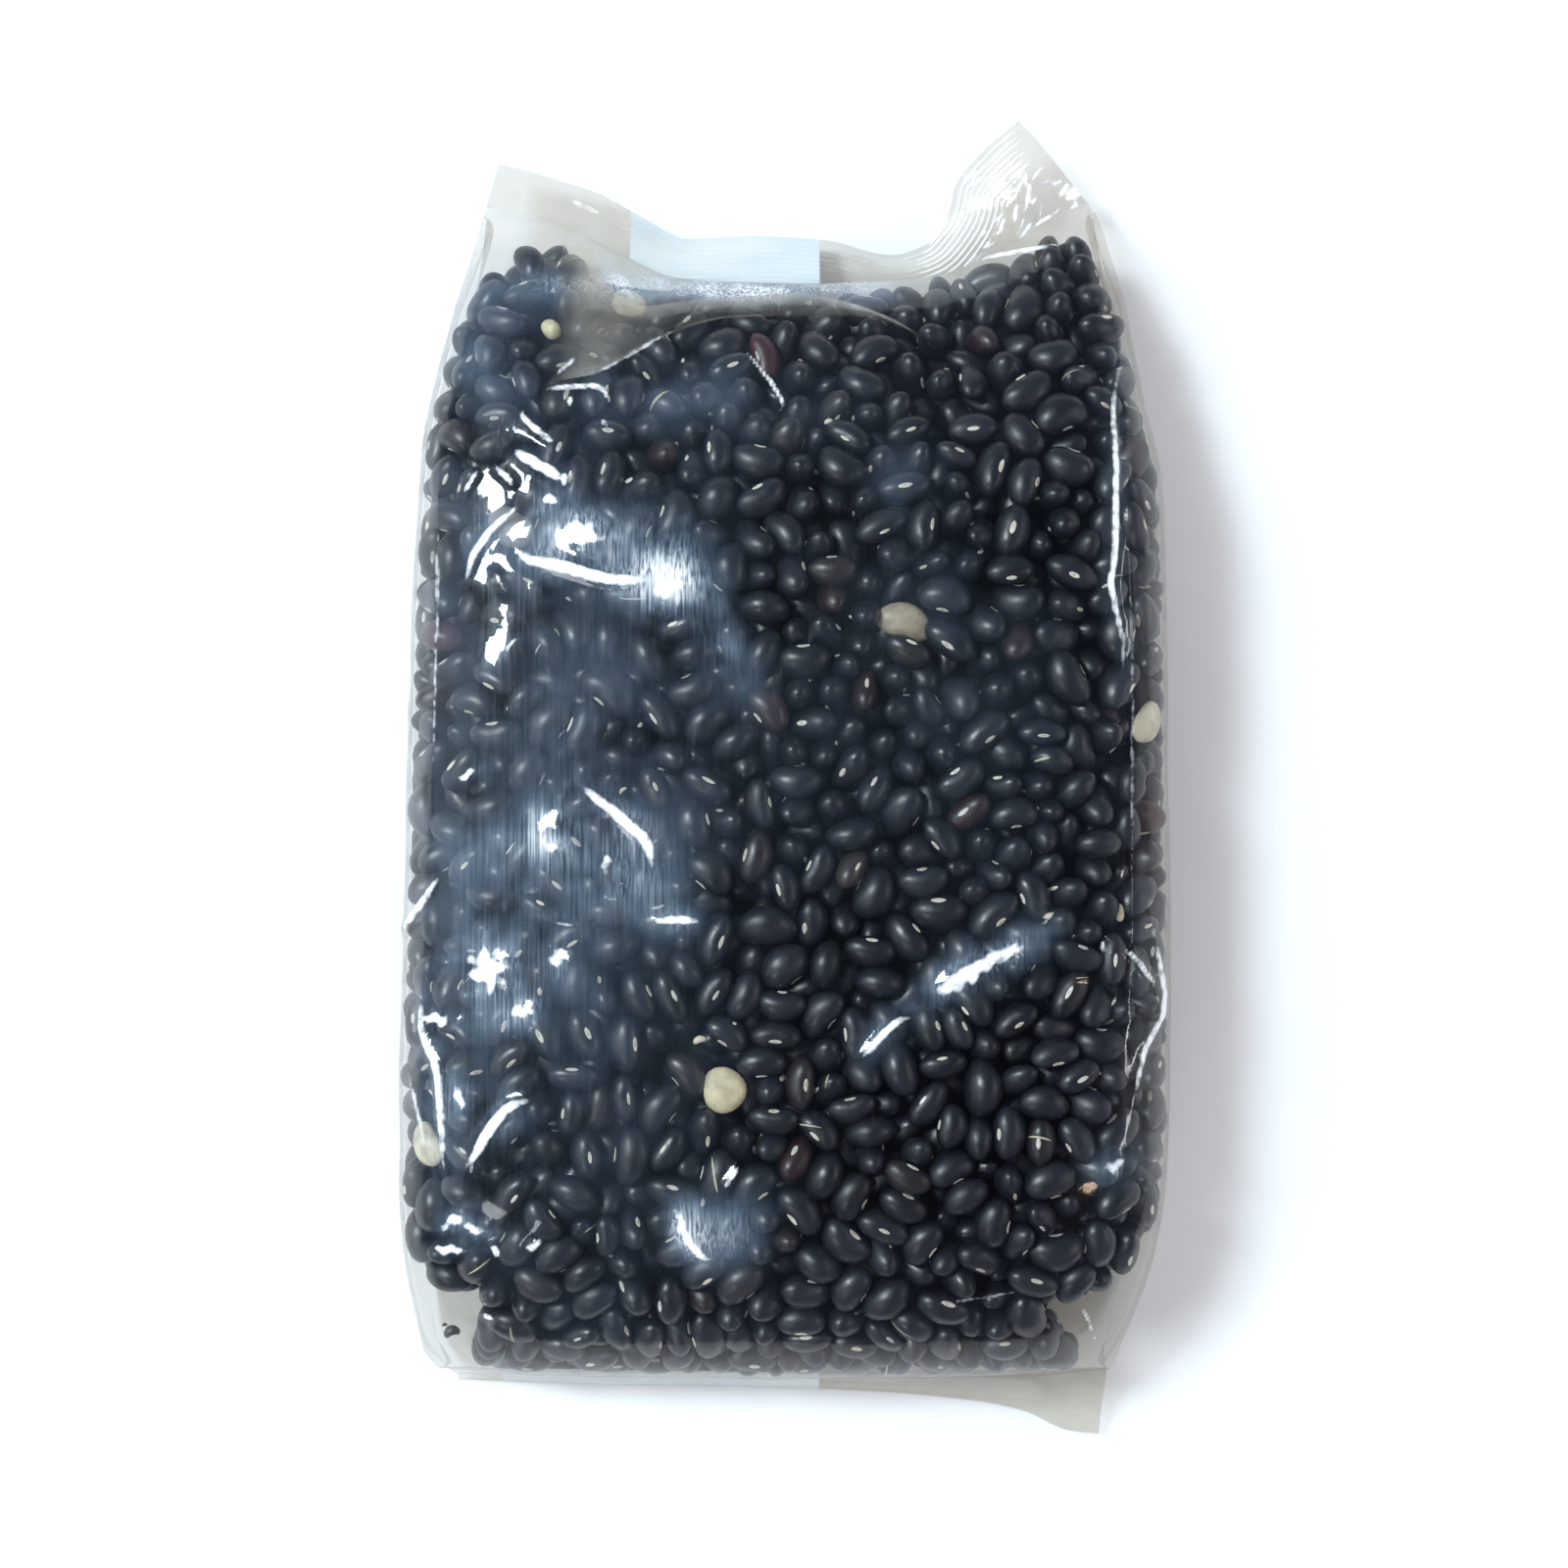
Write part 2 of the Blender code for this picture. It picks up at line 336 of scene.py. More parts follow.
class Room:
    """Signed distance to the bag's film and the heap's outline, on a grid."""

    def __init__(self, step=2.0):
        self.step = step
        self.low = np.array([-78.0, -122.0, -4.0])
        counts = np.ceil((np.array([78.0, 114.0, 50.0]) - self.low) / step).astype(int) + 1
        axes = [self.low[k] + step * np.arange(counts[k]) for k in range(3)]
        places = np.stack(np.meshgrid(*axes, indexing="ij"), -1).reshape(-1, 3)
        shell = np.concatenate([FRONT[::2, ::2].reshape(-1, 3), BACK[::2, ::2].reshape(-1, 3)])
        facing = np.concatenate([FRONT_N[::2, ::2].reshape(-1, 3), BACK_N[::2, ::2].reshape(-1, 3)])
        tree = kdtree.KDTree(len(shell))
        for i, point in enumerate(shell):
            tree.insert(point, i)
        tree.balance()
        nearest = np.array([tree.find(p)[1] for p in places])
        offset = places - shell[nearest]
        distance = np.linalg.norm(offset, axis=1)
        depth = -(offset * facing[nearest]).sum(1)
        inner = np.where(depth > 0, np.maximum(depth, 0.0), -distance)
        inner = np.where(depth > 0, np.minimum(distance, np.maximum(depth, distance * 0.7)), inner)
        plan = inside_outline(places[:, 0], places[:, 1], BEAN_OUTLINE)
        self.depth = np.minimum(inner, plan).reshape(counts)
        self.slope = np.stack(np.gradient(self.depth, step), -1)
        self.counts = counts

    def at(self, points):
        g = np.clip((points - self.low) / self.step, 0, self.counts - 1.001)
        i = g.astype(int)
        f = g - i
        depth = np.zeros(len(points))
        slope = np.zeros((len(points), 3))
        for a in (0, 1):
            for b in (0, 1):
                for c in (0, 1):
                    weight = (
                        (f[:, 0] if a else 1 - f[:, 0])
                        * (f[:, 1] if b else 1 - f[:, 1])
                        * (f[:, 2] if c else 1 - f[:, 2])
                    )
                    where = (i[:, 0] + a, i[:, 1] + b, i[:, 2] + c)
                    depth += weight * self.depth[where]
                    slope += weight[:, None] * self.slope[where]
        slope /= np.maximum(np.linalg.norm(slope, axis=1, keepdims=True), 1e-6)
        return depth, slope


def near_pairs(p, reach):
    cell = np.floor((p - p.min(0)) / reach).astype(int) + 1
    n = cell.max(0) + 2
    key = (cell[:, 0] * n[1] + cell[:, 1]) * n[2] + cell[:, 2]
    order = np.argsort(key, kind="stable")
    start = np.searchsorted(key[order], np.arange(n.prod() + 1))
    counts = np.diff(start)
    index = np.arange(len(p))
    first, second = [], []
    for a in (-1, 0, 1):
        for b in (-1, 0, 1):
            for c in (-1, 0, 1):
                shift = (a * n[1] + b) * n[2] + c
                if shift < 0:
                    continue
                other = key + shift
                have = counts[other]
                for k in range(int(have.max())):
                    pick = have > k
                    i = index[pick]
                    j = order[start[other[pick]] + k]
                    keep = (i < j) if shift == 0 else np.ones(len(i), bool)
                    keep &= i // 2 != j // 2
                    i, j = i[keep], j[keep]
                    close = ((p[i] - p[j]) ** 2).sum(1) < reach * reach
                    first.append(i[close])
                    second.append(j[close])
    return np.concatenate(first), np.concatenate(second)


def settle_beans(room, count, rounds):
    """Beans of two joined balls each, grown and pushed apart inside the bag."""
    rng = np.random.default_rng(SEED)
    length = np.clip(rng.normal(9.9, 0.75, count), 8.1, 11.9)
    width = length * np.clip(rng.normal(0.685, 0.035, count), 0.60, 0.77)
    thick = width * np.clip(rng.normal(0.86, 0.04, count), 0.76, 0.94)
    ball = 0.25 * (width + thick)
    half = 0.5 * length - ball
    spots = []
    while len(spots) < count:
        tries = rng.uniform([-75, -114, 1], [75, 103, 46], (count * 3, 3))
        depth, _ = room.at(tries)
        spots.extend(tries[depth > 2.5])
    centre = np.array(spots[:count])
    axis = rng.normal(size=(count, 3))
    axis /= np.linalg.norm(axis, axis=1, keepdims=True)
    p = np.empty((2 * count, 3))
    p[0::2], p[1::2] = centre + axis * half[:, None], centre - axis * half[:, None]
    r = np.repeat(ball, 2)
    for turn in range(rounds):
        grow = min(1.0, 0.72 + 0.32 * turn / (0.7 * rounds))
        if turn % 5 == 0:
            i, j = near_pairs(p, 2 * r.max() + 1.2)
        gap = p[i] - p[j]
        distance = np.maximum(np.linalg.norm(gap, axis=1), 1e-6)
        over = (r[i] + r[j]) * grow - distance
        touch = over > 0
        a, b = i[touch], j[touch]
        push = gap[touch] * (0.5 * over[touch] / distance[touch])[:, None]
        move = np.empty_like(p)
        for k in range(3):
            move[:, k] = np.bincount(a, push[:, k], len(p)) - np.bincount(b, push[:, k], len(p))
        hits = np.bincount(a, minlength=len(p)) + np.bincount(b, minlength=len(p))
        p += move * (1.6 / np.maximum(hits, 1.6))[:, None]
        depth, slope = room.at(p)
        p += slope * np.maximum(r * grow - depth, 0)[:, None]
        middle = 0.5 * (p[0::2] + p[1::2])
        along = p[0::2] - p[1::2]
        along /= np.maximum(np.linalg.norm(along, axis=1, keepdims=True), 1e-6)
        p[0::2], p[1::2] = middle + along * half[:, None], middle - along * half[:, None]
    return middle, along, np.stack([length, width, thick], 1)


# ----------------------------------------------------------------------- beans
def ball_mesh(around, rings):
    """A unit ball with its poles on X: points, quads and the two ends' triangles."""
    polar = np.pi * np.arange(1, rings + 1) / (rings + 1)
    turn = 2 * np.pi * np.arange(around) / around
    points = [(1.0, 0.0, 0.0)]
    for p in polar:
        points += [(math.cos(p), math.sin(p) * math.cos(t), math.sin(p) * math.sin(t)) for t in turn]
    points.append((-1.0, 0.0, 0.0))
    here = np.arange(around)
    there = (here + 1) % around
    quads = []
    for k in range(rings - 1):
        a, b = 1 + k * around, 1 + (k + 1) * around
        quads.append(np.stack([a + here, b + here, b + there, a + there], 1))
    last = len(points) - 1
    tris = np.concatenate([
        np.stack([np.zeros(around, int), 1 + here, 1 + there], 1),
        np.stack([np.full(around, last), last - around + there, last - around + here], 1),
    ])
    return np.array(points), np.concatenate(quads), tris


def bean_shape(unit, bend, dent):
    """A kidney bean of unit half sizes, hollow at its scar, which faces -Y."""
    x, y, z = unit[..., 0], unit[..., 1], unit[..., 2]
    full = 1 + 0.05 * (1 - x * x)
    hollow = 1 - dent * np.exp(-((x / 0.40) ** 2)) * np.clip(-y, 0, 1)
    return np.stack([
        x * (1 - 0.04 * y),
        y * full * hollow - bend * (x * x - 0.35),
        z * full * (1 + 0.05 * y),
    ], -1) / np.array([1.0, 1.03, 1.05])


def half_shape(unit, bend, dent):
    """One half of a bean that lost its coat: domed on one side, flat on the other."""
    shape = bean_shape(unit, bend, dent * 0.6)
    z = shape[..., 2]
    shape[..., 2] = np.where(z < 0, 0.16 * z, 0.92 * z) - 0.2
    return shape


def frames_of(along, roll):
    up = np.where(np.abs(along[:, 2:]) < 0.9, np.array([[0, 0, 1.0]]), np.array([[0, 1.0, 0]]))
    side = np.cross(up, along)
    side /= np.linalg.norm(side, axis=1, keepdims=True)
    other = np.cross(along, side)
    c, s = np.cos(roll)[:, None], np.sin(roll)[:, None]
    wide = side * c + other * s
    return np.stack([along, wide, np.cross(along, wide)], 1)


def make_many(name, template, shape, places, turns, sizes, bends, dents, tones):
    """One joined mesh of many beans, from a template's unit points."""
    unit, quads, tris = template
    shaped = shape(
        np.broadcast_to(unit, (len(places),) + unit.shape), bends[:, None], dents[:, None]
    )
    local = shaped * (0.5 * sizes)[:, None, :]
    points = places[:, None, :] + np.einsum("nvk,nkj->nvj", local, turns)
    step = np.arange(len(places))[:, None, None] * len(unit)
    faces = [(quads[None] + step).reshape(-1, 4), (tris[None] + step).reshape(-1, 3)]
    colours = np.repeat(tones, len(unit), axis=0)
    return build_mesh(name, points.reshape(-1, 3), faces, colours={"tone": colours})


rng = np.random.default_rng(SEED + 1)
room = Room()
centre, along, sizes = settle_beans(room, 3700, 170)
depth, outward = room.at(centre)
outward = -outward
roll = rng.uniform(0, 2 * math.pi, len(centre))
turns = frames_of(along, roll)
for _ in range(3):
    turned = (-turns[:, 1] * outward).sum(1)
    again = ((turned < -0.1) | (turned > 0.97)) & (rng.uniform(size=len(centre)) < 0.6)
    roll = np.where(again, rng.uniform(0, 2 * math.pi, len(centre)), roll)
    turns = frames_of(along, roll)
hang = np.linalg.norm(turns[:, :, 2] * 0.5 * sizes, axis=1)
centre[:, 2] = np.maximum(centre[:, 2], hang + 0.35)
bends = rng.uniform(0.06, 0.20, len(centre))
dents = rng.uniform(0.08, 0.22, len(centre))

shade = rng.uniform(0.0, 1.0, len(centre))[:, None]
tones = (1 - shade) * np.array([[0.0030, 0.0042, 0.0080]]) + shade * np.array([[0.0095, 0.0115, 0.0210]])
kind = rng.uniform(0.0, 1.0, len(centre))
tones[kind < 0.060] = (0.014, 0.0105, 0.012)
tones[kind < 0.016] = (0.020, 0.007, 0.009)

outer = depth < 5.6
second = (depth >= 5.6) & (depth < 11.0)
facing_up = outward[:, 2] > 0.25


def nearest_outer(x, y, taken):
    """The outer bean that shows nearest to (x, y) from above."""
    top = outer & (outward[:, 2] > 0.15) & ~taken
    sx, sy = seen(x, y, centre[:, 2])
    reach = np.hypot(centre[:, 0] - sx, centre[:, 1] - sy) - 0.35 * (centre[:, 2] - 30) * 0.1
    return int(np.argmin(np.where(top, reach, 1e9)))


# Halves of bare beans that show among the black ones: place, length, width, tone.
BARE = [
    (22.5, 28.9, 11.0, 7.0, (0.36, 0.31, 0.22)),
    (-11.9, -61.0, 8.8, 8.4, (0.58, 0.52, 0.36)),
    (-70.2, -70.1, 9.4, 7.4, (0.60, 0.56, 0.44)),
    (71.6, 13.1, 9.6, 6.6, (0.60, 0.56, 0.43)),
    (-30.4, 92.0, 9.0, 7.6, (0.52, 0.49, 0.36)),
    (-44.4, 85.5, 4.6, 3.6, (0.66, 0.62, 0.40)),
    (-53.0, 48.8, 10.0, 7.2, (0.20, 0.19, 0.17)),
]
DARK = [(9.8, -20.7, (0.034, 0.026, 0.024)), (68.6, -5.2, (0.050, 0.009, 0.013)),
        (0.0, 84.6, (0.045, 0.009, 0.012)), (-66.8, 30.0, (0.055, 0.012, 0.022))]
taken = np.zeros(len(centre), bool)
bare_at = []
for x, y, length, width, tone in BARE:
    k = nearest_outer(x, y, taken)
    taken[k] = True
    sx, sy = seen(x, y, centre[k, 2])
    centre[k, 0], centre[k, 1] = 0.5 * (centre[k, 0] + sx), 0.5 * (centre[k, 1] + sy)
    sizes[k] = (length, width, 4.4)
    flat = outward[k] / np.linalg.norm(outward[k])
    lie = along[k] - flat * (along[k] @ flat)
    lie /= max(np.linalg.norm(lie), 1e-6)
    turns[k] = np.stack([lie, np.cross(flat, lie), flat])
    centre[k] += flat * 0.6
    tones[k] = tone
    bare_at.append(k)
for x, y, tone in DARK:
    k = nearest_outer(x, y, taken)
    taken[k] = True
    tones[k] = tone

bare = np.zeros(len(centre), bool)
bare[bare_at] = True
fine, medium, coarse = ball_mesh(16, 10), ball_mesh(14, 10), ball_mesh(10, 6)


def beans(name, pick, template, shape=bean_shape):
    return make_many(name, template, shape, centre[pick], turns[pick], sizes[pick],
                     bends[pick], dents[pick], tones[pick])


black_front = beans("beans_front", outer & facing_up & ~bare, fine)
black_sides = beans("beans_sides", outer & ~facing_up & ~bare, medium)
black_inner = beans("beans_inner", second & ~bare, coarse)
bare_halves = beans("beans_bare_halves", bare, fine, half_shape)


def scatter_bits(name, spots, shape, template):
    """Crumbs and chips that lie loose under the film: place, size, tone."""
    dice = np.random.default_rng(SEED + 9)
    n = len(spots)
    places = []
    for x, y, z, *_ in spots:
        if z is None:
            z = 38.0
            for _ in range(3):
                sx, sy = seen(x, y, z)
                z = float(film_height(np.array([sx]), np.array([sy]))[0]) - 1.5
        sx, sy = seen(x, y, z)
        places.append((sx, sy, z))
    spin = dice.uniform(0, 2 * math.pi, n)
    flat = np.stack([np.cos(spin), np.sin(spin), np.zeros(n)], 1)
    turn = np.stack([flat, np.cross([0, 0, 1.0], flat), np.tile([0, 0, 1.0], (n, 1))], 1)
    size = np.array([spot[3] for spot in spots], float)
    tone = np.array([spot[4] for spot in spots], float)
    return make_many(name, template, shape, np.array(places), turn, size,
                     dice.uniform(0.0, 0.5, n), dice.uniform(0.2, 0.6, n), tone)


CREAM = (0.60, 0.57, 0.44)
chips = scatter_bits("bean_chips", [
    (-16.6, -50.9, None, (2.6, 1.6, 1.2), CREAM), (-10.5, -47.9, None, (2.2, 1.3, 1.0), CREAM),
    (51.6, -26.8, None, (3.4, 1.6, 1.2), CREAM), (64.7, -26.2, None, (3.4, 2.4, 1.4), CREAM),
    (-31.5, -2.5, None, (1.8, 0.9, 0.8), CREAM), (8.5, 69.0, None, (1.9, 1.2, 0.9), CREAM),
], half_shape, coarse)
crumbs = scatter_bits("bean_crumbs", [
    (-64.6, -107.4, 9.0, (3.4, 2.6, 2.0), (0.010, 0.011, 0.014)),
    (-68.2, -97.3, 9.0, (1.6, 1.1, 0.9), (0.010, 0.011, 0.014)),
    (-69.0, -85.5, 11.0, (1.3, 0.9, 0.8), (0.010, 0.011, 0.014)),
    (67.4, -91.2, 10.0, (1.7, 1.1, 0.9), (0.010, 0.011, 0.014)),
    (58.5, -99.4, 8.5, (1.9, 1.3, 1.0), (0.012, 0.012, 0.014)),
    (-66.0, -106.0, 7.5, (1.1, 0.8, 0.7), (0.012, 0.012, 0.014)),
], bean_shape, coarse)


def on_bean(k, unit, lift):
    """Points on beans k in the given unit directions, lifted off the skin."""
    shaped = bean_shape(unit, bends[k][:, None], dents[k][:, None])
    local = shaped * (0.5 * sizes[k])[:, None, :]
    local = local * (1 + lift / np.maximum(np.linalg.norm(local, axis=-1, keepdims=True), 0.1))
    return centre[k][:, None, :] + np.einsum("nvk,nkj->nvj", local, turns[k])


def scars():
    """The small pale oval scar on every bean that could show it."""
    towards = -turns[:, 1]
    pick = np.flatnonzero(outer & ~bare & ((towards * outward).sum(1) > -0.25))
    n = len(pick)
    turn = 2 * np.pi * np.arange(12) / 12
    long = rng.uniform(0.20, 0.27, n)[:, None]
    wide = rng.uniform(0.13, 0.18, n)[:, None]
    units, lifts = [], []
    for share, lift in ((1.0, 0.0), (0.8, 0.15), (0.40, 0.13), (0.0, 0.06)):
        a = long * share * np.cos(turn)[None, :]
        b = wide * share * np.sin(turn)[None, :]
        if share == 0.0:
            a, b = a[:, :1], b[:, :1]
        units.append(np.stack([a, -np.sqrt(1 - a * a - b * b), b], -1))
        lifts.append(np.full(a.shape[1], lift))
    unit = np.concatenate(units, 1)
    lift = np.concatenate(lifts)[None, :, None]
    points = on_bean(pick, unit, lift)
    here, there = np.arange(12), (np.arange(12) + 1) % 12
    quads = np.concatenate([
        np.stack([k * 12 + here, k * 12 + there, (k + 1) * 12 + there, (k + 1) * 12 + here], 1)
        for k in (0, 1)
    ])
    tris = np.stack([24 + here, 24 + there, np.full(12, 36)], 1)
    step = np.arange(n)[:, None, None] * 37
    tone = np.repeat(
        np.array([[0.70, 0.68, 0.60]]) * rng.uniform(0.72, 1.12, (n, 1)), 37, axis=0
    ).reshape(n, 37, 3)
    slit = rng.uniform(size=n) < 0.35
    tone[slit, 36] *= 0.35
    tone[:, :12] *= 0.55
    return build_mesh("bean_scars", points.reshape(-1, 3),
                      [(quads[None] + step).reshape(-1, 4), (tris[None] + step).reshape(-1, 3)],
                      colours={"tone": tone.reshape(-1, 3)})


def cracks():
    """Pale lines and chips where a few beans' skins have split."""
    can = np.flatnonzero(outer & ~bare & (rng.uniform(size=len(centre)) < 0.022))
    pieces, faces, tone, base = [], [], [], 0
    for k in can:
        spin = rng.normal(size=3)
        spin /= np.linalg.norm(spin)
        out = np.array([outward[k] @ turns[k][i] for i in range(3)])
        start = out + 0.9 * np.cross(spin, out)
        start /= np.linalg.norm(start)
        sweep = rng.uniform(0.35, 0.9)
        t = np.linspace(-sweep, sweep, 11)
        side = np.cross(spin, start)
        side /= np.linalg.norm(side)
        mid = start[None] * np.cos(t)[:, None] + side[None] * np.sin(t)[:, None]
        across = np.cross(mid, np.gradient(mid, axis=0))
        across /= np.linalg.norm(across, axis=1, keepdims=True)
        width = rng.uniform(0.035, 0.075) * np.sin(np.linspace(0.12, math.pi - 0.12, 11)) ** 0.6
        rows = []
        for share in (-1, 0, 1):
            ring = mid + across * (share * width)[:, None]
            rows.append(ring / np.linalg.norm(ring, axis=1, keepdims=True))
        unit = np.concatenate(rows)
        lift = np.concatenate([np.full(11, 0.0), np.full(11, 0.09), np.full(11, 0.0)])[None, :, None]
        points = on_bean(np.array([k]), unit[None], lift)[0]
        pieces.append(points)
        faces.append(grid_faces(3, 11) + base)
        base += 33
        tone.append(np.tile(np.array([0.52, 0.50, 0.36]) * rng.uniform(0.6, 1.1), (33, 1)))
    return build_mesh("bean_cracks", np.concatenate(pieces), [np.concatenate(faces)],
                      colours={"tone": np.concatenate(tone)})


bean_scars = scars()
bean_cracks = cracks()


def core():
    """The dark heart of the heap, under two layers of beans."""
    u, w = even_shares(49, 0), even_rows(57, 0)
    sheets = []
    for side in (0, 1):
        grid = panel_grid("pouch", u, w, side)
        flat = grid.reshape(-1, 3).copy()
        flat *= (0.86, 0.88, 1.0)
        flat[:, 1] -= 3.0
        flat[:, 2] = 20.5 + (flat[:, 2] - 20.5) * 0.50
        for _ in range(14):
            d, toward = room.at(flat)
            flat += toward * np.clip(8.5 - d, 0, 0.6)[:, None] * np.array([1, 1, 0.6])
        sheets.append(flat.reshape(grid.shape))
    top, under = sheets
    seam = 0.5 * (top + under)
    for sheet in (top, under):
        sheet[0], sheet[-1], sheet[:, 0], sheet[:, -1] = seam[0], seam[-1], seam[:, 0], seam[:, -1]
    rows, cols = top.shape[:2]
    index = np.arange(rows * cols).reshape(rows, cols)
    lower = index + rows * cols
    lower[0], lower[-1], lower[:, 0], lower[:, -1] = index[0], index[-1], index[:, 0], index[:, -1]
    def quads(table, flip):
        q = np.stack([table[:-1, :-1], table[:-1, 1:], table[1:, 1:], table[1:, :-1]], -1).reshape(-1, 4)
        return q[:, ::-1] if flip else q
    points = np.concatenate([top.reshape(-1, 3), under.reshape(-1, 3)])
    used = np.unique(np.concatenate([index.ravel(), lower.ravel()]))
    back = np.full(len(points), -1)
    back[used] = np.arange(len(used))
    return build_mesh("heap_core", points[used], [back[quads(index, False)], back[quads(lower, True)]])


heap_core = core()

# ------------------------------------------------------------------------ film
def near_mean(field):
    wide = np.pad(field, 1, mode="edge")
    return 0.25 * (wide[:-2, 1:-1] + wide[2:, 1:-1] + wide[1:-1, :-2] + wide[1:-1, 2:])


def edge_fade(shape, cells):
    r = np.minimum(np.arange(shape[0]), np.arange(shape[0])[::-1]) / cells
    c = np.minimum(np.arange(shape[1]), np.arange(shape[1])[::-1]) / cells
    return ease(r)[:, None] * ease(c)[None, :]


def drape(grid, normal, rounds, sag, clearance, stiff):
    """How far the film stands off its smooth shape, where it lies on the beans."""
    rows, cols = grid.shape[:2]
    touch = np.full((rows, cols), -3.0)
    coarse = grid[::3, ::3]
    tree = kdtree.KDTree(coarse.shape[0] * coarse.shape[1])
    for i, point in enumerate(coarse.reshape(-1, 3)):
        tree.insert(point, i)
    tree.balance()
    reach = 11
    for k in np.flatnonzero((depth < 8.0)):
        place = centre[k]
        at = tree.find(place)[1]
        r0, c0 = at // coarse.shape[1] * 3, at % coarse.shape[1] * 3
        r1, r2 = max(r0 - reach, 0), min(r0 + reach, rows)
        c1, c2 = max(c0 - reach, 0), min(c0 + reach, cols)
        scale = turns[k] / (0.5 * sizes[k])[:, None]
        q = (grid[r1:r2, c1:c2] - place) @ scale.T
        n = normal[r1:r2, c1:c2] @ scale.T
        a = (n * n).sum(-1)
        b = (q * n).sum(-1)
        c = (q * q).sum(-1) - 1
        inside = b * b - a * c
        t = np.where(inside > 0, (-b + np.sqrt(np.maximum(inside, 0))) / a, -9.0)
        t[t > 2.5] = -9.0
        np.maximum(touch[r1:r2, c1:c2], t, out=touch[r1:r2, c1:c2])
    touch += clearance
    lift = np.clip(touch, -1.2, 3.0)
    for _ in range(rounds):
        lift = np.maximum(touch, near_mean(lift) - sag)
        lift[0], lift[-1], lift[:, 0], lift[:, -1] = 0, 0, 0, 0
    taut = lift
    for _ in range(40):
        taut = near_mean(taut)
    fade = edge_fade(lift.shape, 10)
    lift = np.maximum(touch, taut + stiff * fade)
    for _ in range(5):
        lift = near_mean(lift)
    lift[0], lift[-1], lift[:, 0], lift[:, -1] = 0, 0, 0, 0
    return lift


def curve_through(points, pieces):
    """A smooth curve through a few (x, y) points."""
    points = np.asarray(points, float)
    if len(points) < 3:
        t = np.linspace(0, 1, pieces + 1)[:, None]
        return points[0] * (1 - t) + points[-1] * t
    run = np.concatenate([[0], np.cumsum(np.linalg.norm(np.diff(points, axis=0), axis=1))])
    padded = np.concatenate([[2 * points[0] - points[1]], points, [2 * points[-1] - points[-2]]])
    made = []
    for v in np.linspace(0, run[-1], pieces + 1):
        k = min(int(np.searchsorted(run, v, side="right")) - 1, len(points) - 2)
        t = (v - run[k]) / max(run[k + 1] - run[k], 1e-9)
        a, b, c, d = padded[k : k + 4]
        made.append(0.5 * ((2 * b) + (c - a) * t + (2 * a - 5 * b + 4 * c - d) * t * t
                           + (3 * b - 3 * c + d - a) * t**3))
    return np.array(made)


def crease(field, x, y, points, height, width, kind="ridge", pieces=14, fade=0.35):
    """Adds one crease along a curve to a field of film heights."""
    line = curve_through(points, pieces)
    reach = 4.5 * width
    low, high = line.min(0) - reach, line.max(0) + reach
    pick = np.flatnonzero((x > low[0]) & (x < high[0]) & (y > low[1]) & (y < high[1]))
    if not len(pick):
        return
    px, py = x[pick], y[pick]
    best = np.full(len(pick), 1e9)
    side = np.zeros(len(pick))
    where = np.zeros(len(pick))
    for k in range(len(line) - 1):
        (ax, ay), (bx, by) = line[k], line[k + 1]
        dx, dy = bx - ax, by - ay
        t = np.clip(((px - ax) * dx + (py - ay) * dy) / max(dx * dx + dy * dy, 1e-9), 0, 1)
        gx, gy = px - ax - t * dx, py - ay - t * dy
        d = np.hypot(gx, gy)
        near = d < best
        best[near] = d[near]
        side[near] = np.sign(dx * gy - dy * gx)[near]
        where[near] = ((k + t) / (len(line) - 1))[near]
    ends = ease(np.minimum(where, 1 - where) / fade + 0.05)
    if kind == "ridge":
        shape = np.exp(-((best / width) ** 2))
    elif kind == "tent":
        shape = np.exp(-best / width)
    else:  # a step down to the right of the curve's direction
        shape = 0.5 * (1 + np.tanh(side * best / (0.5 * width))) * np.exp(-((best / (3 * width)) ** 2))
    field[pick] += height * ends * shape


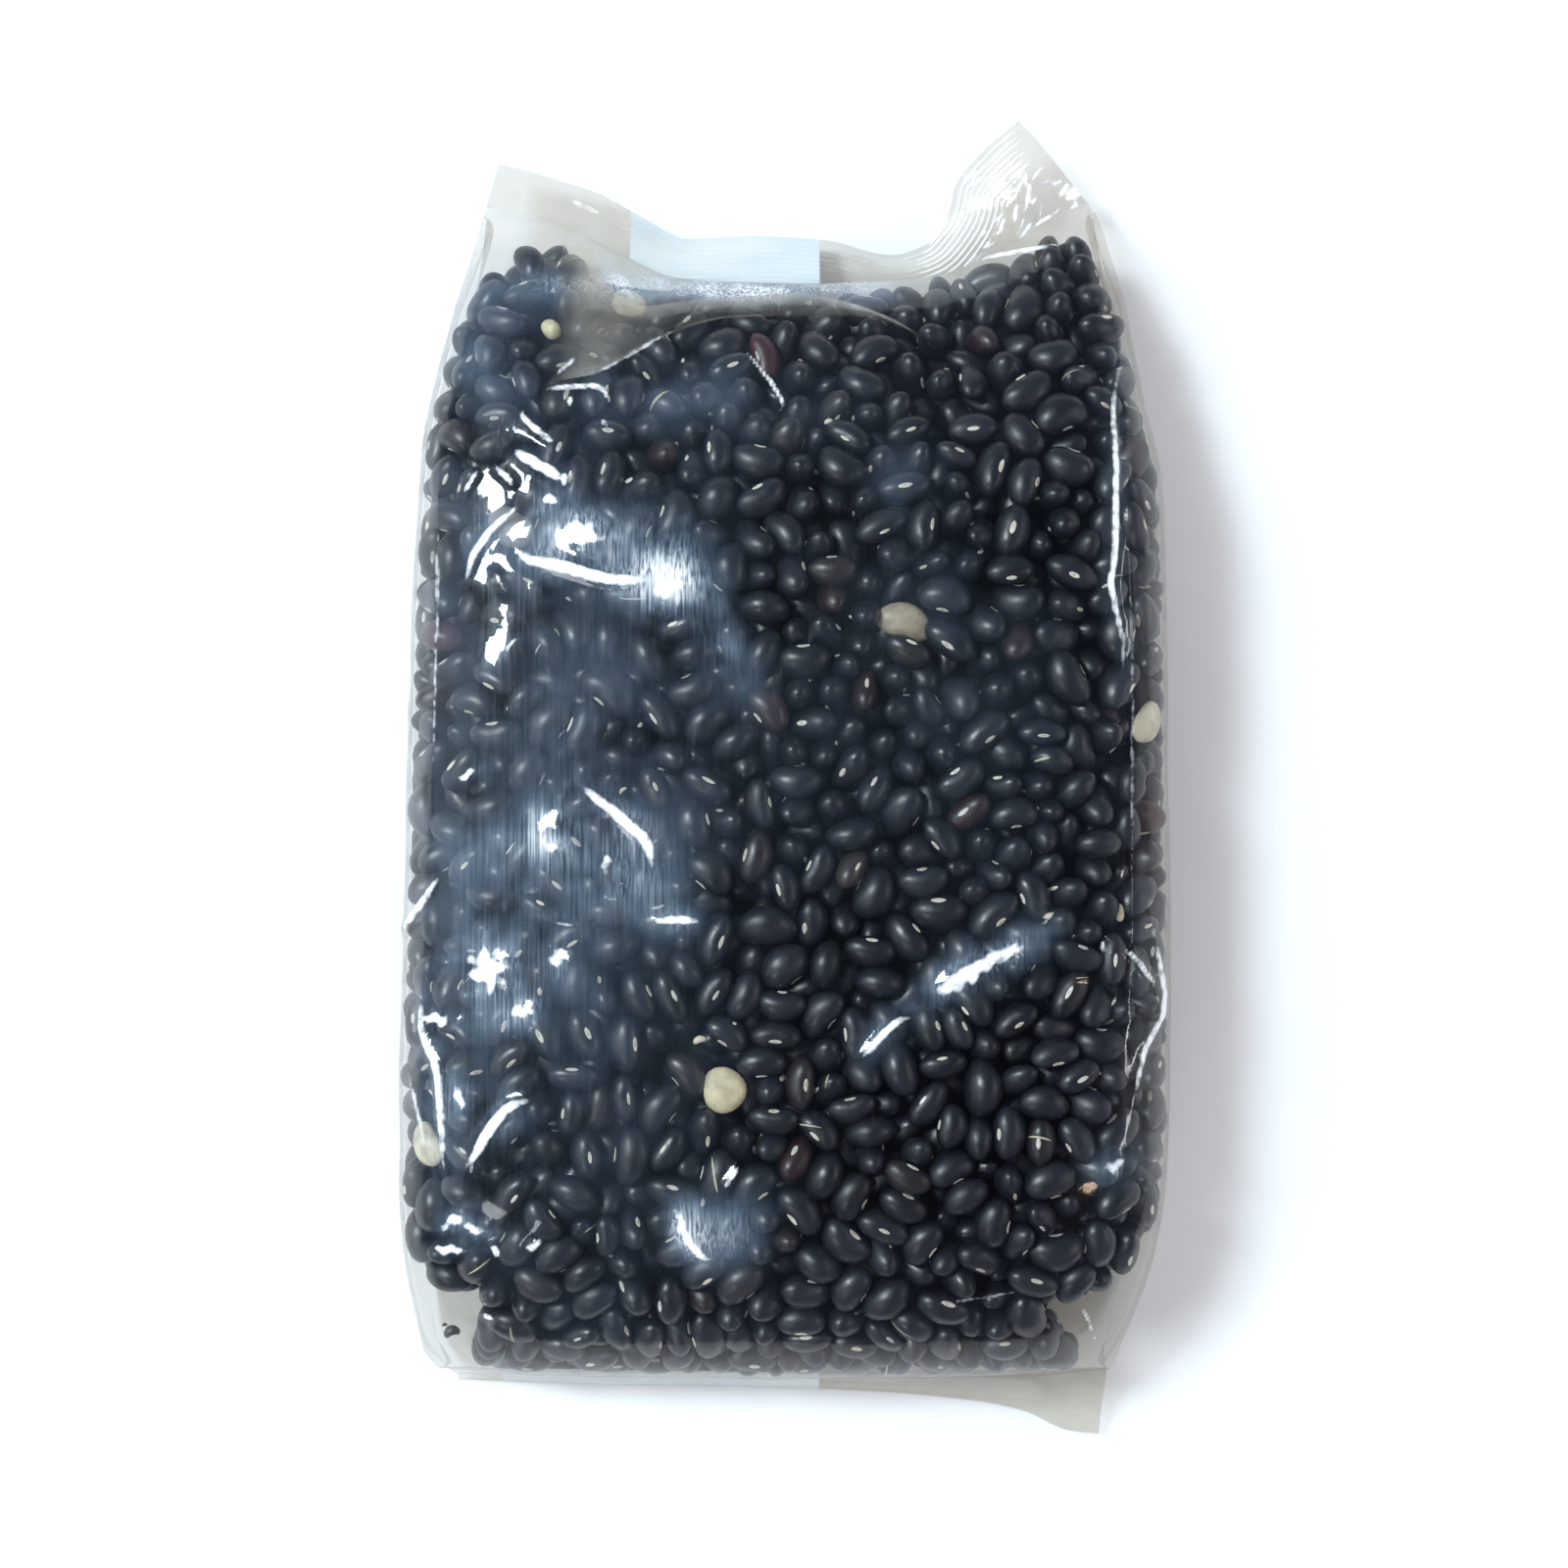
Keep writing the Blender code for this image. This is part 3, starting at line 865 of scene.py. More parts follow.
# Creases of the front panel, seen from above: points, height, width, kind, and the strength of the bright
# highlight painted along each.
CREASES = [
    ([(-49.7, 73.5), (-50.8, 69.9), (-48.4, 67.3), (-44.0, 64.0), (-42.8, 62.3)], 0.70, 0.9, "ridge", 0.45),
    ([(-49.7, 73.5), (-45.5, 75.0), (-38.9, 75.4), (-35.6, 75.0), (-33.5, 70.9), (-33.7, 68.4)], 0.60, 0.8, "ridge", 0.40),
    ([(-41.7, 74.0), (-41.7, 71.0)], 0.5, 0.6, "ridge", 0.5),
    ([(-36.2, 69.3), (-33.9, 67.5)], 0.45, 0.5, "ridge", 0.4),
    ([(-54.1, 64.0), (-48.4, 60.8), (-44.0, 58.0), (-43.0, 55.3)], 0.80, 1.6, "ridge", 0.85),
    ([(-43.0, 55.3), (-42.3, 59.5)], 0.60, 0.60, "ridge", 0.5),
    ([(-57.3, 61.9), (-55.6, 59.7), (-53.3, 57.6), (-52.2, 54.9)], 0.60, 0.65, "ridge", 0.45),
    ([(-51.2, 55.7), (-50.8, 54.3), (-52.3, 51.7), (-55.6, 49.2), (-58.0, 46.6), (-59.9, 43.7), (-61.5, 38.2), (-61.5, 34.6)], 0.75, 0.9, "ridge", 0.60),
    ([(-62.6, 53.2), (-60.7, 57.0), (-58.2, 60.8)], 0.55, 0.55, "ridge", 0.35),
    ([(-55.6, 46.0), (-52.7, 44.8), (-49.7, 42.2), (-43.2, 40.9), (-34.9, 38.6), (-28.6, 38.2), (-22.1, 39.3)], 0.95, 1.9, "ridge", 0.90),
    ([(-56.9, 41.2), (-53.1, 34.2)], 0.50, 0.60, "ridge", 0.35),
    ([(-41.9, 0.6), (-36.8, -3.8), (-30.3, -9.1), (-26.5, -13.3), (-25.6, -21.7)], 0.95, 1.7, "ridge", 0.75),
    ([(-27.5, -27.9), (-20.8, -27.6), (-14.3, -27.9)], 0.80, 1.0, "ridge", 0.60),
    ([(-50.0, -27.0), (-40.0, -28.6), (-31.0, -28.4)], 0.45, 0.8, "ridge", 0.25),
    ([(-65.3, -16.9), (-68.7, -22.4), (-72.1, -27.6), (-73.1, -29.5), (-72.5, -33.3)], 0.85, 0.8, "ridge", 0.5),
    ([(-71.3, -35.2), (-70.0, -39.1), (-70.0, -48.8), (-67.2, -56.6), (-66.2, -68.2), (-65.6, -77.9), (-64.5, -82.5)], 0.85, 0.8, "ridge", 0.60),
    ([(-46.3, -61.9), (-52.7, -63.5), (-56.5, -67.3), (-59.9, -73.2), (-63.4, -77.9)], 0.90, 1.5, "ridge", 0.80),
    ([(-74.0, -50.0), (-70.3, -68.2), (-68.9, -77.9)], 0.40, 0.40, "tent", 0.3),
    ([(-19.7, -84.7), (-19.3, -87.8), (-16.1, -92.2), (-12.3, -93.5)], 0.80, 1.0, "ridge", 0.65),
    ([(-8.1, -74.1), (-12.8, -80.8)], 0.60, 0.60, "ridge", 0.45),
    ([(-50.0, -92.0), (-46.5, -88.5)], 0.80, 0.80, "ridge", 0.5),
    ([(-57.0, -89.5), (-55.0, -93.5)], 0.70, 0.70, "ridge", 0.5),
    ([(49.1, -30.4), (44.4, -32.9), (39.4, -35.3), (31.6, -40.1), (26.9, -46.0)], 1.20, 2.40, "ridge", 0.55),
    ([(26.9, -46.0), (21.0, -47.9), (13.0, -56.6)], 0.80, 1.20, "ridge", 0.55),
    ([(62.4, 91.2), (64.7, 82.7), (63.7, 72.2), (63.7, 45.6), (62.8, 38.0), (64.7, 28.5), (65.6, 22.8), (63.7, 16.1), (64.7, 8.6)], 0.70, 0.60, "tent", 0.55),
    ([(68.5, -19.0), (72.9, -42.9), (69.4, -52.6), (67.5, -63.5), (68.5, -71.1)], 0.60, 0.55, "tent", 0.5),
    ([(60.7, -30.4), (61.8, -35.2)], 0.70, 0.70, "ridge", 0.3),
    ([(62.8, -31.4), (67.5, -35.3), (71.3, -41.0), (72.9, -42.9)], 0.70, 0.70, "ridge", 0.4),
    ([(40.4, -40.9), (57.1, -39.1), (66.6, -40.3), (73.4, -44.1)], 0.45, 1.10, "step", 0.10),
    ([(19.1, -102.6), (38.1, -100.7), (48.7, -98.4), (55.2, -96.9)], 0.50, 0.80, "step", 0.20),
    ([(54.1, -99.2), (58.0, -103.6), (61.7, -113.8)], 0.60, 0.45, "tent", 0.3),
    ([(-10.9, 85.7), (-4.7, 78.9), (-0.5, 72.6), (-1.6, 69.2), (-1.2, 65.4)], 0.50, 0.40, "tent", 0.38),
    ([(-45.9, 76.4), (-38.7, 82.7)], 0.35, 0.30, "tent", 0.34),
    ([(-46.0, 76.4), (-43.0, 77.0), (-36.0, 78.5), (-29.0, 82.3), (-21.8, 86.1), (-14.5, 88.5)], 0.4, 0.7, "ridge", 0.27),
    ([(30.7, 100.1), (45.0, 101.6), (57.9, 103.9)], 0.4, 0.5, "ridge", 0.45),
    ([(-66.4, 72.2), (-67.0, 38.0), (-67.7, 0.0), (-68.3, -19.0)], 0.60, 0.50, "tent", 0.25),
    ([(65.3, 79.8), (66.6, 38.0), (67.0, -19.0), (66.0, -60.0)], 0.45, 0.45, "tent", 0.20),
    ([(-51.0, -91.6), (-47.5, -89.5)], 0.5, 0.5, "ridge", 0.4),
    ([(-59.5, -103.5), (-55.5, -105.0)], 0.5, 0.5, "ridge", 0.4),
]
# Glints: centre, half sizes, turn and strength, seen from above.
GLINTS = [
    (-39.5, 47.3, 3.4, 2.1, -0.6, 0.85), (-45.7, 53.8, 1.7, 0.9, 0.4, 0.7),
    (-46.9, -9.1, 1.5, 1.0, 0.3, 0.8), (-45.7, -13.2, 1.6, 0.9, -0.5, 0.7),
    (-34.5, -16.5, 1.1, 1.8, 0.3, 0.5), (-57.6, -37.2, 2.7, 3.3, 0.3, 0.95),
    (-44.0, -34.8, 1.4, 2.0, 0.4, 0.7), (-51.2, -45.4, 2.0, 1.1, 0.5, 0.75),
    (-66.8, -46.9, 2.1, 1.0, -0.2, 0.8), (-64.3, -85.7, 2.2, 1.0, 0.5, 0.75),
    (-60.0, -87.2, 1.8, 0.9, -0.3, 0.6), (-65.5, -91.5, 2.6, 0.8, 0.1, 0.8),
    (-61.5, 0.4, 1.6, 0.8, 0.6, 0.55), (-53.3, 25.5, 1.6, 0.5, 0.8, 0.6),
    (-22.5, 36.5, 3.4, 3.0, 0.6, 0.50), (35.5, -38.5, 6.5, 1.5, 0.55, 0.62),
    (43.0, -34.0, 3.0, 1.0, 0.5, 0.6), (63.8, -75.4, 2.2, 1.6, 0.3, 0.40),
    (-20.2, -86.5, 0.9, 2.1, 0.1, 0.6), (-63.0, -62.0, 1.0, 2.2, 0.2, 0.5),
]


# Soft domes and dents, seen from above: (x, y, radius, height).
SWELLS = [
    (-38.0, 45.5, 4.2, 1.0), (-20.0, 32.0, 9.0, 1.0), (-43.5, -11.0, 3.2, 0.8),
    (-54.5, -38.0, 3.0, 0.9), (-41.0, -36.0, 2.6, 0.7), (-48.5, -46.5, 2.6, 0.7),
    (-64.0, -48.0, 2.4, 0.7), (-31.5, -18.5, 3.2, 0.6), (-50.0, 70.0, 5.0, 0.5),
    (-60.0, -87.5, 2.2, 0.7), (-16.5, -87.0, 6.0, 0.8), (63.5, -77.0, 2.0, 0.7),
    (35.0, -44.0, 8.0, -0.6), (-33.0, 12.0, 12.0, 0.7), (12.0, 60.0, 14.0, 0.5),
    (-62.0, 58.0, 4.0, 0.4), (-57.0, 46.5, 3.6, -0.4), (-60.5, 37.5, 4.0, 0.35),
    (-54.5, 66.0, 4.0, -0.3), (-63.0, 29.0, 4.0, -0.3), (-58.0, 21.0, 4.5, 0.3),
    (62.0, 72.0, 5.0, -0.9), (56.0, 80.0, 4.0, 0.7), (60.0, 60.0, 4.5, 0.7),
]


def wrinkles(grid, seed):
    """Heights of all creases over the front panel, in millimetres, with the painted highlights along the creases
    and at the glints, and a painted bloom of light around them.
    """
    scale = (EYE - PLANE) / (EYE - grid[..., 2])
    x, y = (grid[..., 0] * scale).ravel(), (grid[..., 1] * scale).ravel()
    field, painted_glint, painted_bloom = np.zeros(len(x)), np.zeros(len(x)), np.zeros(len(x))
    for points, height, width, kind, painted_glint_strength in CREASES:
        crease(field, x, y, points, height, max(width, 0.85), kind)
        # Painted highlight along each crease.
        painted_glint_mark = np.zeros(len(x))
        crease(painted_glint_mark, x, y, points, painted_glint_strength + 0.06, 0.50 + 0.26 * width, "ridge", fade=0.45)
        np.maximum(painted_glint, painted_glint_mark, out=painted_glint)
        # Painted bloom of light around the stronger creases.
        if painted_glint_strength > 0.5:
            crease(painted_bloom, x, y, points, 0.16 * painted_glint_strength, 1.6 + width, "ridge", fade=0.5)
    # Painted glints: bright spots where the film would catch a highlight, with a soft painted bloom.
    for cx, cy, rx, ry, turn, strength in GLINTS:
        c, s = math.cos(turn), math.sin(turn)
        a = ((x - cx) * c + (y - cy) * s) / rx + 0.35 * np.sin(1.9 * y + cx)
        b = (-(x - cx) * s + (y - cy) * c) / ry + 0.35 * np.sin(2.3 * x + cy)
        spot = strength * np.exp(-(a * a + b * b))
        np.maximum(painted_glint, spot, out=painted_glint)
        painted_bloom += 0.12 * np.exp(-0.25 * (a * a + b * b))
    for cx, cy, radius, height in SWELLS:
        field += height * np.exp(-(((x - cx) / radius) ** 2 + ((y - cy) / radius) ** 2))
    dice = np.random.default_rng(seed)
    for _ in range(230):
        cx, cy = dice.uniform(-72, 72), dice.uniform(-112, 98)
        edge = abs(cx) / 72
        if dice.uniform() > 0.25 + 0.75 * edge**2:
            continue
        angle = math.pi / 2 + dice.normal(0, 0.55) + (0.5 if cy > 60 else 0)
        length = dice.uniform(3, 13)
        dx, dy = 0.5 * length * math.cos(angle), 0.5 * length * math.sin(angle)
        bow = dice.normal(0, 0.12) * length
        crease(field, x, y, [(cx - dx, cy - dy), (cx - bow * math.sin(angle), cy + bow * math.cos(angle)),
                             (cx + dx, cy + dy)], dice.uniform(0.08, 0.30), dice.uniform(0.75, 1.1),
               "tent" if dice.uniform() < 0.4 else "ridge", pieces=6)
    return field.reshape(grid.shape[:2]), painted_glint, painted_bloom


def patches(x, y, spots):
    total = np.zeros_like(x)
    for cx, cy, rx, ry, angle, amount in spots:
        c, s = math.cos(angle), math.sin(angle)
        a = ((x - cx) * c + (y - cy) * s) / rx
        b = (-(x - cx) * s + (y - cy) * c) / ry
        total += amount * np.exp(-(a * a + b * b))
    return total


# Folds between the front panel and the gussets, seen from above: y and x.
LEFT_FOLD = [(-90.0, -71.0), (-70.0, -70.0), (-19.0, -68.3), (38.0, -67.0), (72.0, -66.4), (90.0, -64.0)]
RIGHT_FOLD = [(-90.0, 65.0), (-60.0, 66.0), (-19.0, 67.0), (38.0, 66.6), (80.0, 65.3), (90.0, 64.0)]
# Milkiness of the film and painted sheen where smooth film reflects light, seen from above: centre, radii, turn,
# amount.
HAZE_AND_SHEEN = [
    (-46.0, 12.0, 27.0, 90.0, 0.0, 0.050), (-44.0, -16.0, 22.0, 11.0, 0.1, 0.07),
    (-46.5, -11.5, 5.0, 5.0, 0.3, 0.34), (-30.0, -20.0, 9.0, 5.5, -0.5, 0.12),
    (-22.5, 38.5, 5.0, 5.0, 0.5, 0.50), (-14.0, 29.0, 5.0, 11.0, 0.5, 0.17),
    (-24.0, 48.0, 9.0, 6.0, 0.2, 0.10), (-38.5, 46.0, 7.0, 5.0, 0.0, 0.14),
    (-52.0, -60.0, 20.0, 20.0, 0.0, 0.03), (-55.0, -38.0, 10.0, 9.0, 0.0, 0.08),
    (26.0, 15.0, 26.0, 34.0, 0.0, 0.018), (22.0, 56.0, 5.0, 7.0, 0.0, 0.04),
    (-11.0, -88.0, 8.0, 6.0, 0.3, 0.13), (-18.5, -86.0, 3.0, 4.0, 0.0, 0.20),
    (-60.0, 84.0, 9.0, 10.0, 0.0, 0.04), (38.0, -37.0, 12.0, 5.0, 0.55, 0.06),
    # The last patch below paints light over the shaded band under the top seal.
    (-18.0, 74.0, 26.0, 6.0, -0.1, 0.04), (-12.0, 95.6, 27.0, 3.0, 0.0, 0.54),
]


def front_film():
    grid, normal = FRONT, FRONT_N
    fade = edge_fade(grid.shape[:2], 8)
    stand = drape(grid, normal, 220, 0.0, 0.20, 0.45)
    creased, painted_glint, painted_bloom = wrinkles(grid, SEED + 2)
    stand = stand + creased * fade
    made = grid + normal * stand[..., None]
    scale = (EYE - PLANE) / (EYE - grid[..., 2])
    x, y = (grid[..., 0] * scale).ravel(), (grid[..., 1] * scale).ravel()
    # Milky film plus painted sheen: the patches and the bloom around creases stand in for reflected light.
    haze_and_sheen = patches(x, y, HAZE_AND_SHEEN) + painted_bloom
    left, right = smooth_line(LEFT_FOLD, y), smooth_line(RIGHT_FOLD, y)
    within = ease((y + 88) / 14) * ease((86 - y) / 14)
    gusset = (0.08 * ease((left - x) / 2.4) + 0.04 * ease((x - right) / 2.4)) * within
    haze_and_sheen = np.clip(haze_and_sheen, 0, 0.9)
    return build_mesh("film_front", made.reshape(-1, 3), [grid_faces(*grid.shape[:2])],
                      weights={"haze_and_sheen": haze_and_sheen, "painted_glint": painted_glint, "cloudy": gusset})


def back_film():
    grid, normal = BACK, BACK_N
    stand = drape(grid, normal, 110, 0.004, 0.15, 0.0)
    made = grid + normal * stand[..., None]
    made[..., 2] = np.maximum(made[..., 2], 0.02)
    return build_mesh("film_back", made.reshape(-1, 3), [grid_faces(*grid.shape[:2], flip=True)],
                      weights={"haze_and_sheen": np.full(grid.shape[0] * grid.shape[1], 0.02)})


def crimp(points, cut, pitch, band, depth_mm):
    """Heights of the seal's pressed lines, which run beside the cut edge."""
    x, y = points[..., 0].ravel(), points[..., 1].ravel()
    best = np.full(len(x), 1e9)
    for (ax, ay), (bx, by) in zip(cut, cut[1:]):
        dx, dy = bx - ax, by - ay
        t = np.clip(((x - ax) * dx + (y - ay) * dy) / (dx * dx + dy * dy), 0, 1)
        best = np.minimum(best, np.hypot(x - ax - t * dx, y - ay - t * dy))
    best = best.reshape(points.shape[:2])
    inside = ease((band - best) / 1.5) * ease(best / 0.8)
    return depth_mm * np.sin(2 * np.pi * best / pitch) * inside, best


def seal_creases(x, y):
    """Creases of the top seal's two ears."""
    field = np.zeros(len(x))
    dice = np.random.default_rng(SEED + 5)
    for _ in range(64):
        cx, cy = dice.uniform(36, 58), dice.uniform(99, 119)
        angle = dice.uniform(0.3, 1.5)
        length = dice.uniform(2, 6)
        dx, dy = 0.5 * length * math.cos(angle), 0.5 * length * math.sin(angle)
        crease(field, x, y, [(cx - dx, cy - dy), (cx + dx, cy + dy)],
               dice.uniform(0.06, 0.26), dice.uniform(0.28, 0.5), "tent", pieces=4)
    for _ in range(22):
        cx, cy = dice.uniform(-42, -27), dice.uniform(104, 115)
        crease(field, x, y, [(cx - 4, cy + 1.6), (cx + 4, cy - 1.8)], dice.uniform(0.06, 0.20),
               dice.uniform(0.25, 0.5), "tent", pieces=4)
    return field


def seal_lift(zone, points, share, w):
    """Pressed lines and soft waves of a sealed fin, at the given points."""
    edge = 1.0 if zone == "top_fin" else 0.0
    cut = panels(np.linspace(0, 1, 121), zone, edge)[0][:, :2]
    if zone == "top_fin":
        strength = 0.01 + 0.05 * ease((share - 0.24) / 0.1) + 0.05 * ease((share - 0.72) / 0.06)
        lines = crimp(points, cut, 1.08, 11.5, 1.0)[0] * strength
        x, y = points[..., 0].ravel(), points[..., 1].ravel()
        waves = 0.3 * np.sin(x / 6.0 + 0.5 * y / 6.0) * np.sin(y / 9.0)
        inner = ease(w / 0.35)[:, None]
        return lines + (seal_creases(x, y) + waves).reshape(points.shape[:2]) * inner
    lines = crimp(points, cut, 1.08, 9.0, 0.06)[0]
    inner = ease((1 - w) / 0.35)[:, None]
    return lines + 0.3 * np.sin(points[..., 0] / 7.0) * inner * (1 - share)


def fin(zone, side, rows, cols, gap, name):
    """One sheet of a sealed fin, with its pressed lines."""
    u, w = np.linspace(0.0, 1.0, cols), np.linspace(0, 1, rows)
    grid = panel_grid(zone, u, w, side, gap)
    share = np.broadcast_to(u[None, :], grid.shape[:2])
    haze_and_sheen = np.full(grid.shape[:2], 0.10)
    painted_glint = np.zeros(grid.shape[:2])
    if zone == "top_fin":
        haze_and_sheen = 0.09 - 0.03 * ease((share - 0.24) / 0.08)
        if side == 0:
            cut = panels(np.linspace(0, 1, 121), zone, 1.0)[0][:, :2]
            wave, best = crimp(grid, cut, 1.08, 11.0, 1.0)
            # Painted highlights: bright lines along the crimp ridges, strongest on the right ear, and bright lines
            # along the seal's creases.
            amount = 0.10 * ease((share - 0.20) / 0.05) + 0.16 * ease((share - 0.5) / 0.06)
            amount += 0.62 * ease((share - 0.69) / 0.05) * ease((0.96 - share) / 0.10)
            painted_glint = np.clip(wave, 0, 1) ** 3 * amount
            x, y = grid[..., 0].ravel(), grid[..., 1].ravel()
            fold_glints = np.clip(seal_creases(x, y) * 3.2, 0, 0.85).reshape(grid.shape[:2])
            painted_glint = np.maximum(painted_glint, fold_glints * (0.34 + 0.66 * ease((share - 0.4) / 0.2)))
    grid[..., 2] = np.maximum(grid[..., 2] + seal_lift(zone, grid, share, w), 0.05 + 0.3 * (1 - side))
    return build_mesh(name, grid.reshape(-1, 3), [grid_faces(rows, cols)],
                      weights={"haze_and_sheen": haze_and_sheen.ravel(), "painted_glint": painted_glint.ravel()})


def label_band():
    """The bare printed band on the rear panel, from the bottom cut to the top one."""
    points, faces, base = [], [], 0
    for zone, rows in (("bottom_fin", 14), ("pouch", 221), ("top_fin", 40)):
        w = BACK_W if zone == "pouch" else np.linspace(0, 1, rows)
        sheet, shares = [], []
        for v in w:
            y = row_heights(np.array([0.35]), zone, v)[0]
            left = -56.5 + 25.5 * ease((y - 70.0) / 26.0)
            if zone == "pouch":  # tucked behind the fold at its upper left corner
                left += 15.0 * ease((y - 93.0) / 5.0)
            right = 6.8
            a, b = smooth_line(LEFT_EDGE, y), smooth_line(RIGHT_EDGE, y)
            u = (np.linspace(left, right, 60) - a) / (b - a)
            shares.append(u)
            row = panels(u, zone, v, 0.2)
            sheet.append(row[1] if zone == "pouch" else 0.5 * (row[0] + row[1]))
        sheet = np.array(sheet)
        if zone != "pouch":
            sheet[..., 2] += seal_lift(zone, sheet, np.array(shares), w)
        sheet[..., 2] = np.maximum(sheet[..., 2] + (0.12 if zone == "pouch" else 0.0), 0.2)
        points.append(sheet.reshape(-1, 3))
        faces.append(grid_faces(*sheet.shape[:2]) + base)
        base += sheet.shape[0] * sheet.shape[1]
    return build_mesh("label_band", np.concatenate(points), [np.concatenate(faces)])


film_front = front_film()
film_back = back_film()
fins = [
    fin("top_fin", 0, 64, 520, 0.40, "fin_top_front"),
    fin("top_fin", 1, 32, 200, 0.40, "fin_top_back"),
    fin("bottom_fin", 0, 24, 260, 0.40, "fin_bottom_front"),
    fin("bottom_fin", 1, 16, 160, 0.40, "fin_bottom_back"),
]
label = label_band()


def fold_flap():
    """The tuck of slack film over the top of the heap, from its crease to its lip."""
    lower = curve_through([(-46.0, 76.4), (-43.0, 77.0), (-36.0, 78.5), (-29.0, 82.3), (-21.8, 86.1),
                           (-14.5, 88.5), (-7.0, 89.3), (5.8, 89.5), (16.6, 89.1), (22.9, 87.0),
                           (28.0, 84.0)], 60)
    upper = curve_through([(-43.0, 103.4), (-36.8, 102.0), (-36.5, 99.0), (-33.3, 94.4), (-27.6, 91.4),
                           (-18.9, 92.5), (-12.0, 93.1), (2.6, 93.9), (9.6, 92.7), (16.2, 90.8),
                           (22.9, 87.8), (28.4, 83.6)], 60)
    rows, flap_haze_and_sheen = [], []
    for t in np.linspace(0, 1, 25):
        line = lower * (1 - t) + upper * t
        x, y = line[:, 0].copy(), line[:, 1].copy()
        z = np.full(len(x), 34.0)
        for _ in range(3):
            wx, wy = seen(x, y, z)
            z = film_height(wx, wy)
        wx, wy = seen(x, y, z)
        ends = np.clip(np.sin(np.linspace(0, math.pi, len(x))), 0, 1)
        z = z + 0.7 + 1.2 * math.sin(math.pi * t) * ends**0.5
        rows.append(np.stack([wx, wy, z], -1))
        along_it = np.linspace(0, 1, len(x))
        soft = 0.04 + 0.20 * t**1.5 + 0.10 * np.exp(-(((along_it - 0.12) / 0.10) ** 2))
        # Painted highlight: a bright line along the flap's lower edge.
        lip_highlight = 0.30 * math.exp(-((t / 0.06) ** 2)) * ease((0.75 - along_it) / 0.3)
        flap_haze_and_sheen.append((soft + lip_highlight) * ease(along_it / 0.06) * ease((1 - along_it) / 0.1))
    grid = np.array(rows)
    return build_mesh("film_fold", grid.reshape(-1, 3), [grid_faces(*grid.shape[:2])],
                      weights={"haze_and_sheen": np.array(flap_haze_and_sheen).ravel()})


flap = fold_flap()

# ------------------------------------------------------------------- materials
def material(name):
    made = bpy.data.materials.new(name)
    made.use_nodes = True
    nodes = made.node_tree.nodes
    nodes.clear()
    return made, nodes, made.node_tree.links


def noise(nodes, links, scale, detail=3.0, stretch=(1, 1, 1)):
    coord = nodes.new("ShaderNodeTexCoord")
    mapping = nodes.new("ShaderNodeMapping")
    mapping.inputs["Scale"].default_value = stretch
    texture = nodes.new("ShaderNodeTexNoise")
    texture.inputs["Scale"].default_value = scale
    texture.inputs["Detail"].default_value = detail
    links.new(coord.outputs["Object"], mapping.inputs["Vector"])
    links.new(mapping.outputs["Vector"], texture.inputs["Vector"])
    return texture.outputs["Fac"]


def remap(nodes, links, value, low, high, to_low, to_high):
    made = nodes.new("ShaderNodeMapRange")
    made.inputs["From Min"].default_value = low
    made.inputs["From Max"].default_value = high
    made.inputs["To Min"].default_value = to_low
    made.inputs["To Max"].default_value = to_high
    links.new(value, made.inputs["Value"])
    return made.outputs["Result"]


def math_node(nodes, links, operation, first, second):
    made = nodes.new("ShaderNodeMath")
    made.operation = operation
    for socket, value in zip(made.inputs, (first, second)):
        if isinstance(value, (int, float)):
            socket.default_value = value
        else:
            links.new(value, socket)
    return made.outputs["Value"]


def diffuse(nodes, colour):
    made = nodes.new("ShaderNodeBsdfDiffuse")
    made.inputs["Color"].default_value = (*colour, 1)
    return made.outputs[0]


def layer(nodes, links, share, below, above):
    made = nodes.new("ShaderNodeMixShader")
    links.new(share, made.inputs["Fac"])
    links.new(below, made.inputs[1])
    links.new(above, made.inputs[2])
    return made.outputs[0]


def attribute(nodes, name):
    made = nodes.new("ShaderNodeAttribute")
    made.attribute_name = name
    return made.outputs["Fac"]


